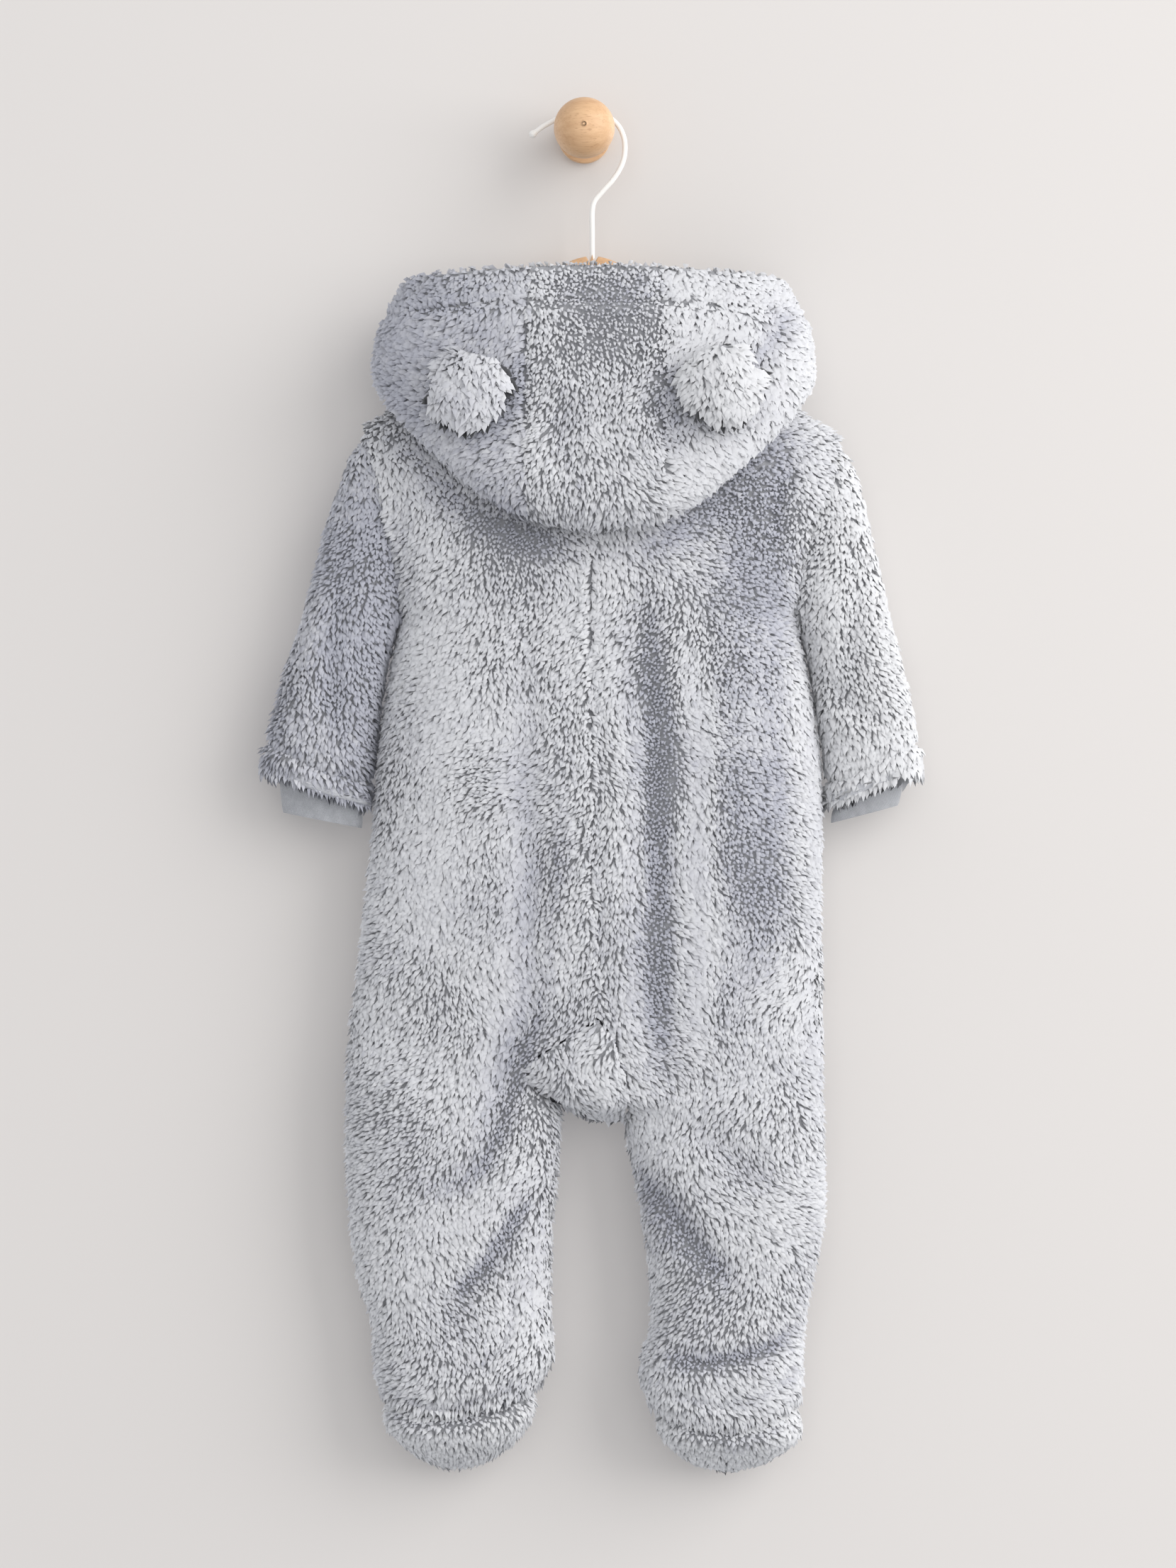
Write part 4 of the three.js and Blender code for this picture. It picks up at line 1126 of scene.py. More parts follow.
@dataclass
class Sleeve:
    """A sleeve with its turned hem, and the jersey cuff inside it."""

    half: Half
    rings: Table
    cuff: Table
    folds: tuple[Fold, ...] = ()
    shade: tuple[Fold, ...] = ()
    tone: float = 0.62
    lean: float = 57.0
    calm: float = 0.0
    cuff_shown: tuple[float, float] = (104.0, 21.0)
    roundness: float = 0.86

    def ring(self, rings: Table, turn: Array, row: Array) -> Array:
        """A ring's point: turn 0 is the outer side, 0.25 the back, 0.5 the inner side."""
        angle = turn * 2 * np.pi
        along = 0.5 - 0.5 * soft(np.cos(angle), self.roundness)
        x = lerp(rings.read("outX", row), rings.read("inX", row), along)
        z = lerp(rings.read("outZ", row), rings.read("inZ", row), along)
        deep = rings.read("deep", row) * soft(np.sin(angle), self.roundness)
        return np.stack([x, rings.read("mid", row) - deep, z], axis=-1)

    def point(self, turn: Array, row: Array) -> Array:
        """The sleeve's outside; row -1 is the armhole seam."""
        around = turn % 1.0
        down = np.where(around <= 0.5, 2 * around, 2 - 2 * around)
        side = np.zeros_like(down)
        back = self.half.point(Face.BACK, side, down - 1)
        front = self.half.point(Face.FRONT, side, down - 1)
        edge = np.where((around <= 0.5)[..., None], back, front)
        edge[..., 0] += self.half.side.value * 1.5 * SEAM
        first = self.ring(self.rings, turn, np.zeros_like(row))
        share = soft(np.clip(row + 1, 0, 1), 0.8)[..., None]
        low = self.ring(self.rings, turn, np.maximum(row, 0))
        return np.where((row < 0)[..., None], lerp(edge, first, share), low)

    def make(self, tailor: Tailor) -> None:
        """Sews the sleeve and its cuff."""
        side = self.half.side
        name = side.name.lower()
        last = len(self.rings.rows) - 1
        around = np.linspace(0, 1, 72, endpoint=False)
        down = evenly(lambda row: self.point(np.full_like(row, 0.12), row), -1, last, 3.0)
        panel = Panel.cut(f"sleeve_{name}", self.point, around, down, side.value, closed=True)
        panel.inset(tailor.inset).crease(self.folds).groove(22.5, 2.6, 2.4)
        panel.reaching((-4.5 * side.value, 0, 0), 4)
        nap = Nap(edges=(0, 0, 0.3, 0), hem=19.0, fan=45.0, centre=side.value * 148, swirl=34,
                  stitched=22.5, shag=0.4, shade=self.shade, tone=self.tone, lean=self.lean, calm=self.calm)
        tailor.sew(panel, nap, Cut(232, 222, 0.45))
        self._cuff(tailor, name, side.value)

    def _cuff(self, tailor: Tailor, name: str, side: int) -> None:
        """Makes the doubled jersey cuff."""
        surface = lambda turn, row: self.ring(self.cuff, turn, row)
        panel = Panel.cut(f"cuff_{name}", surface, np.linspace(0, 1, 72, endpoint=False),
                          np.linspace(0, 2, 15), side, closed=True)
        swell = 0.5 * np.sin(np.pi * np.linspace(0, 1, 15)) ** 0.5 - 0.4
        ripple = 0.35 * np.sin(np.linspace(0, 2 * np.pi, 72, endpoint=False) * 5 + 0.7)
        panel.points = panel.points + panel.normals() * (swell[None, :] + ripple[:, None] * 0.6)[..., None]
        cuff = panel.shell(tailor.build, 1.1, ("jersey", "jersey"))
        tailor.build.keep(cuff, "jersey", [panel.name])
        LOG.info("%s: %.4f m2", panel.name, panel.area())


# ------------------------------------------------------------------ hood and ears

HOOD_CUT = ("neckX", "neckY", "neckZ", "foldX", "foldY", "foldZ",
            "rimX", "rimY", "rimZ", "faces", "swell", "round", "off")


@dataclass
class Hood:
    """The hanging hood and its face-edge band.

    Each cut runs from the neck seam, under the hanging fold and up to the face edge.
    """

    cuts: Table
    middle: float = 6.0
    band: float = 26.0
    strip: float = 2.0
    end: float = 7.6
    folds: tuple[Fold, ...] = ()

    def knots(self, u: Array) -> Array:
        """The knots of the cuts at an array of u, (u, 8, 3)."""
        get = lambda name: self.cuts.read(name, np.abs(u))
        faces = np.radians(get("faces"))
        way = np.stack([np.cos(faces), np.sin(faces), np.zeros_like(faces)], axis=-1)
        neck, fold, rim = (np.stack([get(part + axis) for axis in "XYZ"], axis=-1)
                           for part in ("neck", "fold", "rim"))
        bend = get("round")[:, None]
        lift = bend * np.array((0.0, 0.0, 1.0))
        inner, outer = fold - way * bend + lift, fold + way * bend + lift
        half_up = lerp(outer, rim, 0.5) + way * get("swell")[:, None]
        off = get("off")[:, None]
        near = lerp(neck, inner, 0.15) + way * off
        far = lerp(neck, inner, 0.55) + way * off * 0.7
        made = np.stack([neck, near, far, inner, fold, outer, half_up, rim], axis=1)
        made[..., 0] = self.middle + made[..., 0] * np.where(u < 0, -1, 1)[:, None]
        return made

    def seam_place(self, knots: Array) -> Array:
        """Where on each cut the band's seam lies, from 0 to 1."""
        fine = np.linspace(0, 1, 201)
        line = through(knots, np.broadcast_to(fine, (len(knots), 201)))
        steps = np.linalg.norm(np.diff(line, axis=1), axis=-1)
        run = np.concatenate([np.zeros((len(knots), 1)), np.cumsum(steps, axis=1)], axis=1)
        length = run[:, -1]
        wanted = length - np.minimum(self.band, 0.3 * length)
        return np.array([np.interp(w, r, fine) for w, r in zip(wanted, run)])

    def point(self, u: Array, v: Array) -> Array:
        """The hood's outside on a grid: v is 0 to 1 from the neck to the band, 1 to 2 on the band."""
        cuts = u[:, 0]
        knots = self.knots(cuts)
        seam = self.seam_place(knots)[:, None]
        at = np.where(v <= 1, v * seam, lerp(seam, 1, v - 1))
        return through(knots, at)

    def make(self, tailor: Tailor) -> None:
        """Sews the three hood panels and their bands."""
        spans = {"centre": (-self.strip, self.strip), "side_left": (-self.end, -self.strip),
                 "side_right": (self.strip, self.end)}
        side_cut, side_band = Cut(210, 234, 0.42), Cut(188, 26, 0.92)
        for part, (start, stop) in spans.items():
            outer = 0.7 if part == "centre" else 0.3
            over = evenly(lambda u: self.point(u[:, None], np.full((len(u), 1), outer))[:, 0],
                          start, stop, tailor.pitch)
            edge = 0.5 * (start + stop)
            down = evenly(lambda v: self.point(np.array([[edge]]), v[None])[0], 0, 1, tailor.pitch)
            panel = Panel.cut(f"hood_{part}", self.point, over, down, 1)
            panel.inset(tailor.inset).crease(self.folds).tuck(0.7, 3.5)
            # Painted light and shade: the left side's pile is painted far darker, as it faces away from the
            # light, and the right side's lighter, as it faces the light; each band takes its side's values.
            lean, tone, calm = {"centre": (52.0, 0.64, 0.0), "side_left": (64.0, 0.17, 0.4),
                                "side_right": (66.0, 0.62, 0.8)}[part]
            nap = Nap(fan=44.0, edges=(0.6, 0.6, 0.3, 0.8), shade=UNDER_EARS, lean=lean, tone=tone,
                      stitched=1.2, calm=calm)
            cut = Cut(80, 246, 0.91) if part == "centre" else side_cut
            tailor.sew(panel, nap, cut)
            tall = evenly(lambda v: self.point(np.array([[edge]]), v[None])[0], 1, 1.72, 3.2)
            band = Panel.cut(f"hood_band_{part.removeprefix('side_')}", self.point, over, tall, 1)
            band.inset(tailor.inset).crease(self.folds).tuck(0.6, 3.0, edges=(0, 1, 2)).rolled(2.0)
            nap = Nap(length=5.0, fan=60.0, edges=(0.5, 0.5, 1.2, 0), lean=lean, tone=tone,
                      shade=UNDER_EARS, calm=calm)
            cut = Cut(77, 26, 0.99) if part == "centre" else side_band
            tailor.sew(band, nap, cut)


@dataclass
class Ears:
    """Two small padded-looking ears, each sewn from an outer and an under half."""

    hood: Hood
    places: tuple[tuple[Side, float, float, float], ...] = (
        (Side.LEFT, -59.0, -134.0, 16.0),
        (Side.RIGHT, 66.0, -134.0, -34.0),
    )
    width: float = 42.0
    length: float = 42.0
    puff: float = 7.0
    under: float = 3.0
    tilt: float = -13.0
    stand: float = 4.4
    wall: float = 2.4
    inset: float = 2.2

    def _shape(self, puff: float, u: Array, v: Array) -> Array:
        """Half of an ear flat on the hood: u across, v from the base to the tip."""
        reach = np.sqrt(np.maximum(0, 1 - (v * 1.9 - 0.9) ** 2 * 0.98))
        crown = np.maximum(0, 1 - (2 * u - 1) ** 2) ** 0.6 * np.maximum(0, 1 - (2 * v - 1) ** 2) ** 0.45
        across = (u - 0.5) * self.width * reach
        return np.stack([across, -puff * crown - np.sign(puff) * SEAM, -self.length * v], axis=-1)

    def _place(self, x: float, z: float, lean: float) -> Array:
        """The matrix that hangs an ear on the hood's outside."""
        u, v = np.meshgrid(np.linspace(-5, 5, 61), np.linspace(0.5, 1, 41), indexing="ij")
        points = self.hood.point(u, v)
        near = np.hypot(points[..., 0] - x, points[..., 2] - z).argmin()
        row = near // 41
        faces = float(self.hood.cuts.read("faces", np.abs(u[row, :1]))[0])
        yaw = math.copysign(1, x - self.hood.middle) * (faces + 90) * 0.6
        y = points.reshape(-1, 3)[near, 1] - self.stand
        turns = [Matrix.Rotation(math.radians(a), 4, axis)
                 for a, axis in ((yaw, "Z"), (lean, "Y"), (self.tilt, "X"))]
        return np.array(Matrix.Translation((x, y, z)) @ turns[0] @ turns[1] @ turns[2])

    def make(self, tailor: Tailor) -> None:
        """Sews both ears."""
        for side, x, z, lean in self.places:
            place = self._place(x, z, lean)
            for part, puff, way in (("outer", self.puff, -1), ("under", -self.under, 1)):
                surface = lambda u, v, puff=puff: self._shape(puff, u, v) @ place[:3, :3].T + place[:3, 3]
                us, vs = np.linspace(0.03, 0.97, 17), np.linspace(0.03, 0.97, 17)
                panel = Panel.cut(f"ear_{side.name.lower()}_{part}", surface, us, vs, way)
                panel.inset(self.inset - self.wall)
                # Painted light and shade: the left ear is painted darker and the right ear lighter, for how
                # the light from the right falls on them.
                nap = Nap(gap=1.5, length=8.0, width=3.1, lean=67, edges=(-1.0, -1.0, -0.3, -1.0), swirl=30,
                          swirl_size=16, tone=0.4 if side is Side.LEFT else 1.2, calm=0.6)
                tailor.sew(panel, nap, Cut(42, 48, 0.73))


# ------------------------------------------------------------------ zip


@dataclass
class Zip:
    """The closed zip down the middle of the front: tapes, teeth, slider and pull."""

    half: Half
    x: float = 4.0
    top: float = -177.0
    end: float = -492.0
    tape: float = 12.0
    chain: float = 2.4
    slider_z: float = -181.0
    tooth_pitch: float = 2.5
    tooth: tuple[float, float, float] = (2.9, 2.2, 1.15)
    tooth_round: float = 0.28
    tooth_out: float = 0.75
    sunk: float = 3.8
    gap: float = 0.3
    wall: float = 0.7
    tape_rise: float = 12.0
    teeth_rise: float = 13.0
    teeth_below: float = 9.0

    def front_at(self, z: Array) -> Array:
        """How far out the middle of the front lies at a height."""
        rows = self.half.sections.rows
        high = (rows[0][0] - z) / (self.half.neck_low[1] - rows[0][0])
        above = self.half.point(Face.FRONT, np.ones_like(z), np.clip(high, -1, -1e-9))[..., 1]
        zs = [row[0] for row in rows[::-1]]
        fronts = [row[6] for row in rows[::-1]]
        return np.where(z > rows[0][0], above, np.interp(z, zs, fronts))

    def make(self, build: Build) -> None:
        """Makes the zip's pieces."""
        for side in Side:
            self._tape(build, side)
        self._teeth(build)
        self._hardware(build)

    def _tape(self, build: Build, side: Side) -> None:
        """One side's woven tape."""
        name = f"zip_tape_{side.name.lower()}"
        start, stop = sorted((side.value * (self.chain + self.gap), side.value * self.tape))
        us, vs = np.linspace(start, stop, 5), np.linspace(self.top, self.end + self.tape_rise, 90)
        surface = lambda u, z: np.stack([
            self.x + u, self.front_at(np.clip(z, self.end, self.top)) - self.sunk, z], axis=-1)
        panel = Panel.cut(name, surface, us, vs, 1)
        cloth = panel.shell(build, self.wall, ("zip_tape", "zip_tape"))
        build.keep(cloth, "zip_tape", [name])

    def _teeth(self, build: Build) -> None:
        """Both rows of teeth, meshed."""
        tooth = bmesh.new()
        bmesh.ops.create_cube(tooth, size=1.0)
        bmesh.ops.scale(tooth, vec=self.tooth, verts=tooth.verts)
        edges = tooth.edges[:]
        bmesh.ops.bevel(tooth, geom=edges, offset=self.tooth_round, segments=1, affect="EDGES")
        corner = np.array([v.co for v in tooth.verts])
        shape = [[v.index for v in f.verts] for f in tooth.faces]
        tooth.free()
        points, faces = [], []
        bottom = self.end + self.teeth_rise
        for side in Side:
            zs = np.arange(self.slider_z - self.teeth_below, bottom, -self.tooth_pitch)
            zs = zs + (self.tooth_pitch / 2 if side is Side.RIGHT else 0)
            for z in zs:
                y = float(self.front_at(np.array([z]))[0]) - self.sunk - 0.2
                start = sum(len(p) for p in points)
                points.append(corner + (self.x + side.value * self.tooth_out, y, z))
                faces += [[start + i for i in face] for face in shape]
        made = build.mesh("zip_teeth", np.concatenate(points), faces, "zip_chain", smooth=False)
        build.keep(made, "zip_chain", ["zip_chain"])

    def _hardware(self, build: Build) -> None:
        """The slider and its pull, with their edges rounded over."""
        for node, body, round_over in (("zip_slider", Body.SUIT, 0.35), ("zip_pull", Body.PULL, 0.3)):
            made = rounded_copy(build, node, f"{node}_plated", round_over)
            build.keep(made, "zip_metal", [node], body)


def rounded_copy(build: Build, node: str, name: str, radius: float) -> bpy.types.Object:
    """A hard piece with rounded edges, on a node's own form.

    Args:
        build: Makes the object.
        node: The node whose form it takes.
        name: The new piece's name.
        radius: How far its edges are rounded.
    Returns:
        The piece.
    """
    shape = bmesh.new()
    shape.from_mesh(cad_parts[node].data)
    bmesh.ops.remove_doubles(shape, verts=shape.verts, dist=1e-5)
    bmesh.ops.dissolve_limit(shape, angle_limit=math.radians(2), verts=shape.verts, edges=shape.edges)
    sharp = [e for e in shape.edges if len(e.link_faces) == 2 and e.calc_face_angle() > math.radians(40)]
    bmesh.ops.bevel(shape, geom=sharp, offset=radius * MM, segments=3, profile=0.5, affect="EDGES",
                    clamp_overlap=True)
    mesh = bpy.data.meshes.new(name)
    shape.to_mesh(mesh)
    shape.free()
    mesh.materials.append(build.finishes["zip_metal"])
    mesh.polygons.foreach_set("use_smooth", np.ones(len(mesh.polygons), bool))
    made = bpy.data.objects.new(name, mesh)
    bpy.context.scene.collection.objects.link(made)
    return made


# ------------------------------------------------------------------ hanger and peg


def swept(route: Array, sections: Array) -> tuple[Array, list]:
    """A closed solid along a route in the XZ plane.

    Args:
        route: The centre line, (n, 3).
        sections: Half width in the plane and half depth along Y at each point, (n, 2).
    Returns:
        The points and the faces.
    """
    sides = 20
    along = unit(np.gradient(route, axis=0))
    out = np.stack([-along[:, 2], np.zeros(len(route)), along[:, 0]], axis=-1)
    deep = np.array((0.0, 1.0, 0.0))
    angle = np.linspace(0, 2 * np.pi, sides, endpoint=False)
    ring = (out[:, None] * (soft(np.cos(angle), 0.8)[None, :, None] * sections[:, :1, None])
            + deep * (soft(np.sin(angle), 0.8)[None, :, None] * sections[:, 1:, None]))
    points = (route[:, None] + ring).reshape(-1, 3)
    number = np.arange(len(points)).reshape(len(route), sides)
    wrapped = np.concatenate([number, number[:, :1]], axis=1)
    faces = quads(wrapped)[:, ::-1].tolist()
    return points, [*faces, number[0].tolist(), number[-1, ::-1].tolist()]


@dataclass
class Hanger:
    """A bent wire hook in a rounded wooden hanger, on a turned peg."""

    hook: tuple[tuple[float, float], ...]
    edge: tuple[tuple[float, float], ...]
    wire: float = 1.5
    knob: float = 2.3
    y: float = -26.0
    middle: float = 4.5
    thick: float = 8.0
    tall: float = 15.0

    def make(self, build: Build) -> None:
        """Makes the hook and the wooden arms."""
        knots = np.array([(x, self.y, z) for x, z in self.hook])
        route = through(knots, np.linspace(0, 1, 160))
        run = np.concatenate([[0], np.cumsum(np.linalg.norm(np.diff(route, axis=0), axis=1))])
        knob = np.sqrt(np.clip(1 - ((run - self.knob) / self.knob) ** 2, 0.02, 1)) * self.knob
        radius = np.where(run < 2 * self.knob, np.maximum(knob, np.where(run > self.knob, self.wire, 0)),
                          self.wire)
        points, faces = swept(route, np.stack([radius, radius], axis=1))
        made = build.mesh("hook_wire", points, faces, "hook_enamel")
        build.keep(made, "hook_enamel", ["hanger_hook"])
        self._arms(build)

    def _arms(self, build: Build) -> None:
        """The wooden arms, one solid from end to end."""
        knots = np.array([(x, self.y, z) for x, z in self.edge])
        share = np.linspace(0, 1, 48)
        upper = through(knots, share)
        along = unit(np.gradient(upper, axis=0))
        inward = np.stack([along[:, 2], np.zeros(len(share)), -along[:, 0]], axis=-1)
        centre = upper + inward * self.tall / 2
        centre[0, 0] = 0.0
        mirror = centre[1:][::-1] * np.array((-1.0, 1.0, 1.0))
        line = np.concatenate([mirror, centre]) + np.array((self.middle, 0.0, 0.0))
        end = np.abs(np.linspace(-1, 1, len(line)))
        close = np.sqrt(np.clip(1 - ((end - 0.93) / 0.07).clip(0, 1) ** 2, 0.01, 1))
        sections = np.stack([close * self.tall / 2, close * self.thick / 2], axis=1)
        points, faces = swept(line, sections)
        made = build.mesh("hanger_arms", points, faces, "beech")
        build.keep(made, "beech", ["hanger_body"])


@dataclass
class Peg:
    """A turned peg: a disc on the wall, a neck and a ball."""

    base: float = 15.0
    base_depth: float = 4.0
    neck: float = 10.0
    ball: float = 17.5
    ball_y: float = -42.0
    edge: float = 0.8
    cove: float = 1.2
    back: float = 0.6
    sides: int = 72

    def make(self, build: Build) -> None:
        """Turns the peg."""
        start = math.asin(self.neck / self.ball)
        arc = np.linspace(start, math.pi, 36)[:-1]
        ball = [(self.ball * math.sin(a), self.ball_y + self.ball * math.cos(a)) for a in arc]
        corner = np.linspace(0, np.pi / 2, 6)
        edge, cove = self.edge, self.cove
        rim = [(self.base - edge + edge * math.cos(a), -self.base_depth + edge - edge * math.sin(a))
               for a in corner]
        hollow = [(self.neck + cove * (1 - math.sin(a)), -self.base_depth - cove * (1 - math.cos(a)))
                  for a in corner]
        profile = [(self.base - self.back, 0.0), (self.base, -edge), *rim, *hollow, *ball]
        radius, depth = np.array(profile).T
        angle = np.linspace(0, 2 * np.pi, self.sides, endpoint=False)
        points = np.stack([radius[:, None] * np.cos(angle), np.repeat(depth[:, None], self.sides, 1),
                           radius[:, None] * np.sin(angle)], axis=-1).reshape(-1, 3)
        number = np.arange(len(points)).reshape(len(profile), self.sides)
        faces = quads(np.concatenate([number, number[:, :1]], axis=1)).tolist()
        tip = len(points)
        points = np.concatenate([points, [(0, 0, 0), (0, self.ball_y - self.ball, 0)]])
        nxt = np.roll(np.arange(self.sides), -1)
        faces += [[number[0, b], number[0, a], tip] for a, b in enumerate(nxt)]
        faces += [[number[-1, a], number[-1, b], tip + 1] for a, b in enumerate(nxt)]
        made = build.mesh("peg_turned", points, faces, "beech")
        build.keep(made, "beech", ["wall_peg"])


# ------------------------------------------------------------------ studio


@dataclass
class Studio:
    """The camera, the pale wall and floor, and the soft lights."""

    aim: tuple[float, float, float] = (2.1, -40.0, -376.5)
    distance: float = 2601.0
    lens: float = 104.0
    floor: float = -1300.0
    cove: float = 320.0
    key_power: float = 112.0
    fill_power: float = 20.0
    sky: float = 0.72

    def camera(self) -> None:
        """Sets the camera level with the middle of the suit."""
        data = bpy.data.cameras.new("camera")
        data.lens = self.lens
        data.sensor_width = 36.0
        made = bpy.data.objects.new("camera", data)
        x, y, z = self.aim
        made.location = (x * MM, (y - self.distance) * MM, z * MM)
        made.rotation_euler = (math.pi / 2, 0, 0)
        bpy.context.scene.collection.objects.link(made)
        bpy.context.scene.camera = made

    def backdrop(self, build: Build) -> None:
        """A wall that turns into a floor."""
        reach, wall = 6000.0, 0.6
        bend = np.linspace(0, np.pi / 2, 12)
        profile = [(wall, 2600.0)]
        profile += [(wall - self.cove * (1 - math.cos(a)), self.floor + self.cove * (1 - math.sin(a)))
                    for a in bend]
        profile += [(-reach, self.floor)]
        points = [(x, y, z) for x in (-reach, reach) for y, z in profile]
        count = len(profile)
        faces = [(i, i + 1, count + i + 1, count + i) for i in range(count - 1)]
        made = build.mesh("backdrop", np.array(points), faces, "backdrop")
        made.visible_shadow = False
        made.visible_diffuse = False

    def lights(self) -> None:
        """A large soft light from the right, fainter ones ahead and behind, and an even sky."""
        lamps = (("key", (2.8, -1.8, 0.9), 3.4, self.key_power),
                 ("fill", (0.2, -3.2, 0.2), 2.6, self.fill_power),
                 ("left_rim", (-1.8, 1.6, -0.2), 2.0, 12.0), ("right_rim", (1.8, 1.8, 0.2), 2.0, 30.0))
        for name, place, size, power in lamps:
            data = bpy.data.lights.new(name, "AREA")
            data.size = size
            data.energy = power
            data.color = (1.0, 0.985, 0.965)
            made = bpy.data.objects.new(name, data)
            made.location = place
            aim = Vector((0, 0, self.aim[2] * MM)) - Vector(place)
            made.rotation_euler = aim.to_track_quat("-Z", "Y").to_euler()
            bpy.context.scene.collection.objects.link(made)
        world = bpy.data.worlds.new("sky")
        world.use_nodes = True
        ground = next(n for n in world.node_tree.nodes if n.type == "BACKGROUND")
        ground.inputs["Color"].default_value = (0.965, 0.975, 1.0, 1.0)
        ground.inputs["Strength"].default_value = self.sky
        bpy.context.scene.world = world
        bpy.context.scene.view_settings.view_transform = "Standard"


# ------------------------------------------------------------------ the suit's own sizes

BODY_LEFT = Table(SECTION, (
    (-280, -105, 4, 90, -60, -28, -9, 0, 0), (-325, -113, 4, 90, -62, -29, -8, 0, 0),
    (-365, -118, 4, 90, -63, -31, -8, 0, 0), (-405, -121, 4, 90, -63, -32, -8, 0, 0),
    (-450, -126, 5, 90, -62, -32, -8, 0, 0), (-488, -130, 7, 90, -60, -32, -8, 0, 0),
    (-508, -133, 8, 90, -59, -32, -8, 0, 0), (-519, -134, -6, 91, -58, -32, -8, 0, 0),
    (-529, -135, -22, 95, -57, -32, -8, 0, 0), (-538, -136, -31, 108, -56, -32, -8, 0, 0),
    (-548, -136, -29, 136, -56, -32, -8, 0, 0), (-558, -136, -16, 180, -56, -32, -8, 0, 0),
    (-595, -136, -16, 180, -56, -31, -8, 0, 0), (-627, -134, -19, 180, -55, -31, -8, 0, 0),
    (-658, -130, -20, 180, -54, -31, -8, 0, 0), (-684, -122, -20, 180, -55, -31, -8, 0.02, 0),
    (-705, -120, -18, 180, -58, -32, -8, 0.05, 3), (-718, -118, -22, 180, -58, -32, -9, 0.08, 8),
    (-726, -113, -29, 180, -53, -32, -12, 0.08, 11), (-724, -108, -34, 180, -50, -32, -15, 0.08, 11),
))
BODY_RIGHT = Table(SECTION, (
    (-280, 121, 4, 90, -60, -28, -9, 0, 0), (-325, 130, 4, 90, -62, -29, -8, 0, 0),
    (-365, 135, 4, 90, -63, -31, -8, 0, 0), (-405, 136, 4, 90, -63, -32, -8, 0, 0),
    (-450, 135, 5, 90, -62, -32, -8, 0, 0), (-488, 136, 7, 90, -60, -32, -8, 0, 0),
    (-508, 136, 8, 90, -59, -32, -8, 0, 0), (-521, 136, 17, 91, -58, -32, -8, 0, 0),
    (-533, 136, 20, 94, -57, -32, -8, 0, 0), (-545, 136, 22, 101, -56, -32, -8, 0, 0),
    (-557, 136, 24, 122, -56, -32, -8, 0, 0), (-569, 137, 24, 180, -56, -32, -8, 0, 0),
    (-595, 137, 28, 180, -56, -31, -8, 0, 0), (-627, 137, 34, 180, -55, -31, -8, 0, 0),
    (-658, 131, 38, 180, -54, -31, -8, 0, 0), (-688, 126, 39, 180, -55, -31, -8, 0, 0),
    (-708, 125, 33, 180, -58, -32, -8, 0, 4), (-723, 125, 34, 180, -58, -32, -9, -0.03, 10),
    (-731, 121, 41, 180, -53, -32, -12, -0.04, 14), (-729, 116, 46, 180, -50, -32, -15, -0.04, 14),
))
ARMHOLE = Table(("left", "right"), ((-128, 147), (-122, 143), (-116, 134), (-109, 126), (-105, 121)))
FOOT_LEFT = Table(SECTION, (
    (-727, -107, -35, 180, -49, -32, -16, 0.08, 11), (-731, -112, -31, 180, -53, -32, -12, 0.08, 11),
    (-736, -115, -29, 180, -55, -31, -9, 0.06, 9), (-745, -114, -32, 180, -53, -29, -8, 0.03, 5),
    (-755, -107, -41, 180, -47, -26, -8, 0, 2), (-764, -96, -52, 180, -38, -23, -10, 0, 0),
    (-769, -86, -63, 180, -29, -21, -15, 0, 0), (-771, -81, -69, 180, -23, -21, -19, 0, 0),
))
FOOT_RIGHT = Table(SECTION, (
    (-732, 115, 47, 180, -49, -32, -16, -0.04, 14), (-736, 120, 43, 180, -53, -32, -12, -0.04, 13),
    (-742, 124, 42, 180, -55, -31, -9, -0.02, 10), (-751, 124, 44, 180, -52, -29, -8, 0, 5),
    (-760, 116, 52, 180, -46, -26, -8, 0, 1), (-768, 104, 62, 180, -37, -23, -10, 0, 0),
    (-771, 94, 73, 180, -29, -21, -15, 0, 0), (-773, 89, 78, 180, -23, -21, -19, 0, 0),
))
SLEEVE_LEFT = Table(RING, (
    (-134, -184, -107, -285, -27, 16), (-146, -219, -109, -293, -26, 18), (-156, -258, -113, -306, -26, 19),
    (-169, -300, -117, -328, -26, 19), (-179, -336, -120, -357, -26, 18), (-186, -359, -122, -382, -26, 17),
    (-185, -371, -124, -391, -26, 15), (-177, -370, -129, -385, -26, 10),
))
SLEEVE_RIGHT = Table(RING, (
    (151, -184, 123, -285, -27, 16), (161, -214, 125, -293, -26, 18), (170, -253, 129, -306, -26, 19),
    (180, -295, 133, -328, -26, 19), (189, -335, 137, -357, -26, 18), (194, -358, 139, -382, -26, 17),
    (193, -370, 141, -390, -26, 15), (184, -369, 146, -384, -26, 10),
))
CUFF_LEFT = Table(RING, (
    (-176, -371, -129, -386, -26, 9.6), (-175, -383, -128, -395, -26, 8),
    (-174, -393, -128, -402, -26, 8),
))
CUFF_RIGHT = Table(RING, (
    (184, -370, 146, -385, -26, 9.6), (183, -380, 143, -393, -26, 8),
    (181, -389, 142, -399, -26, 8),
))
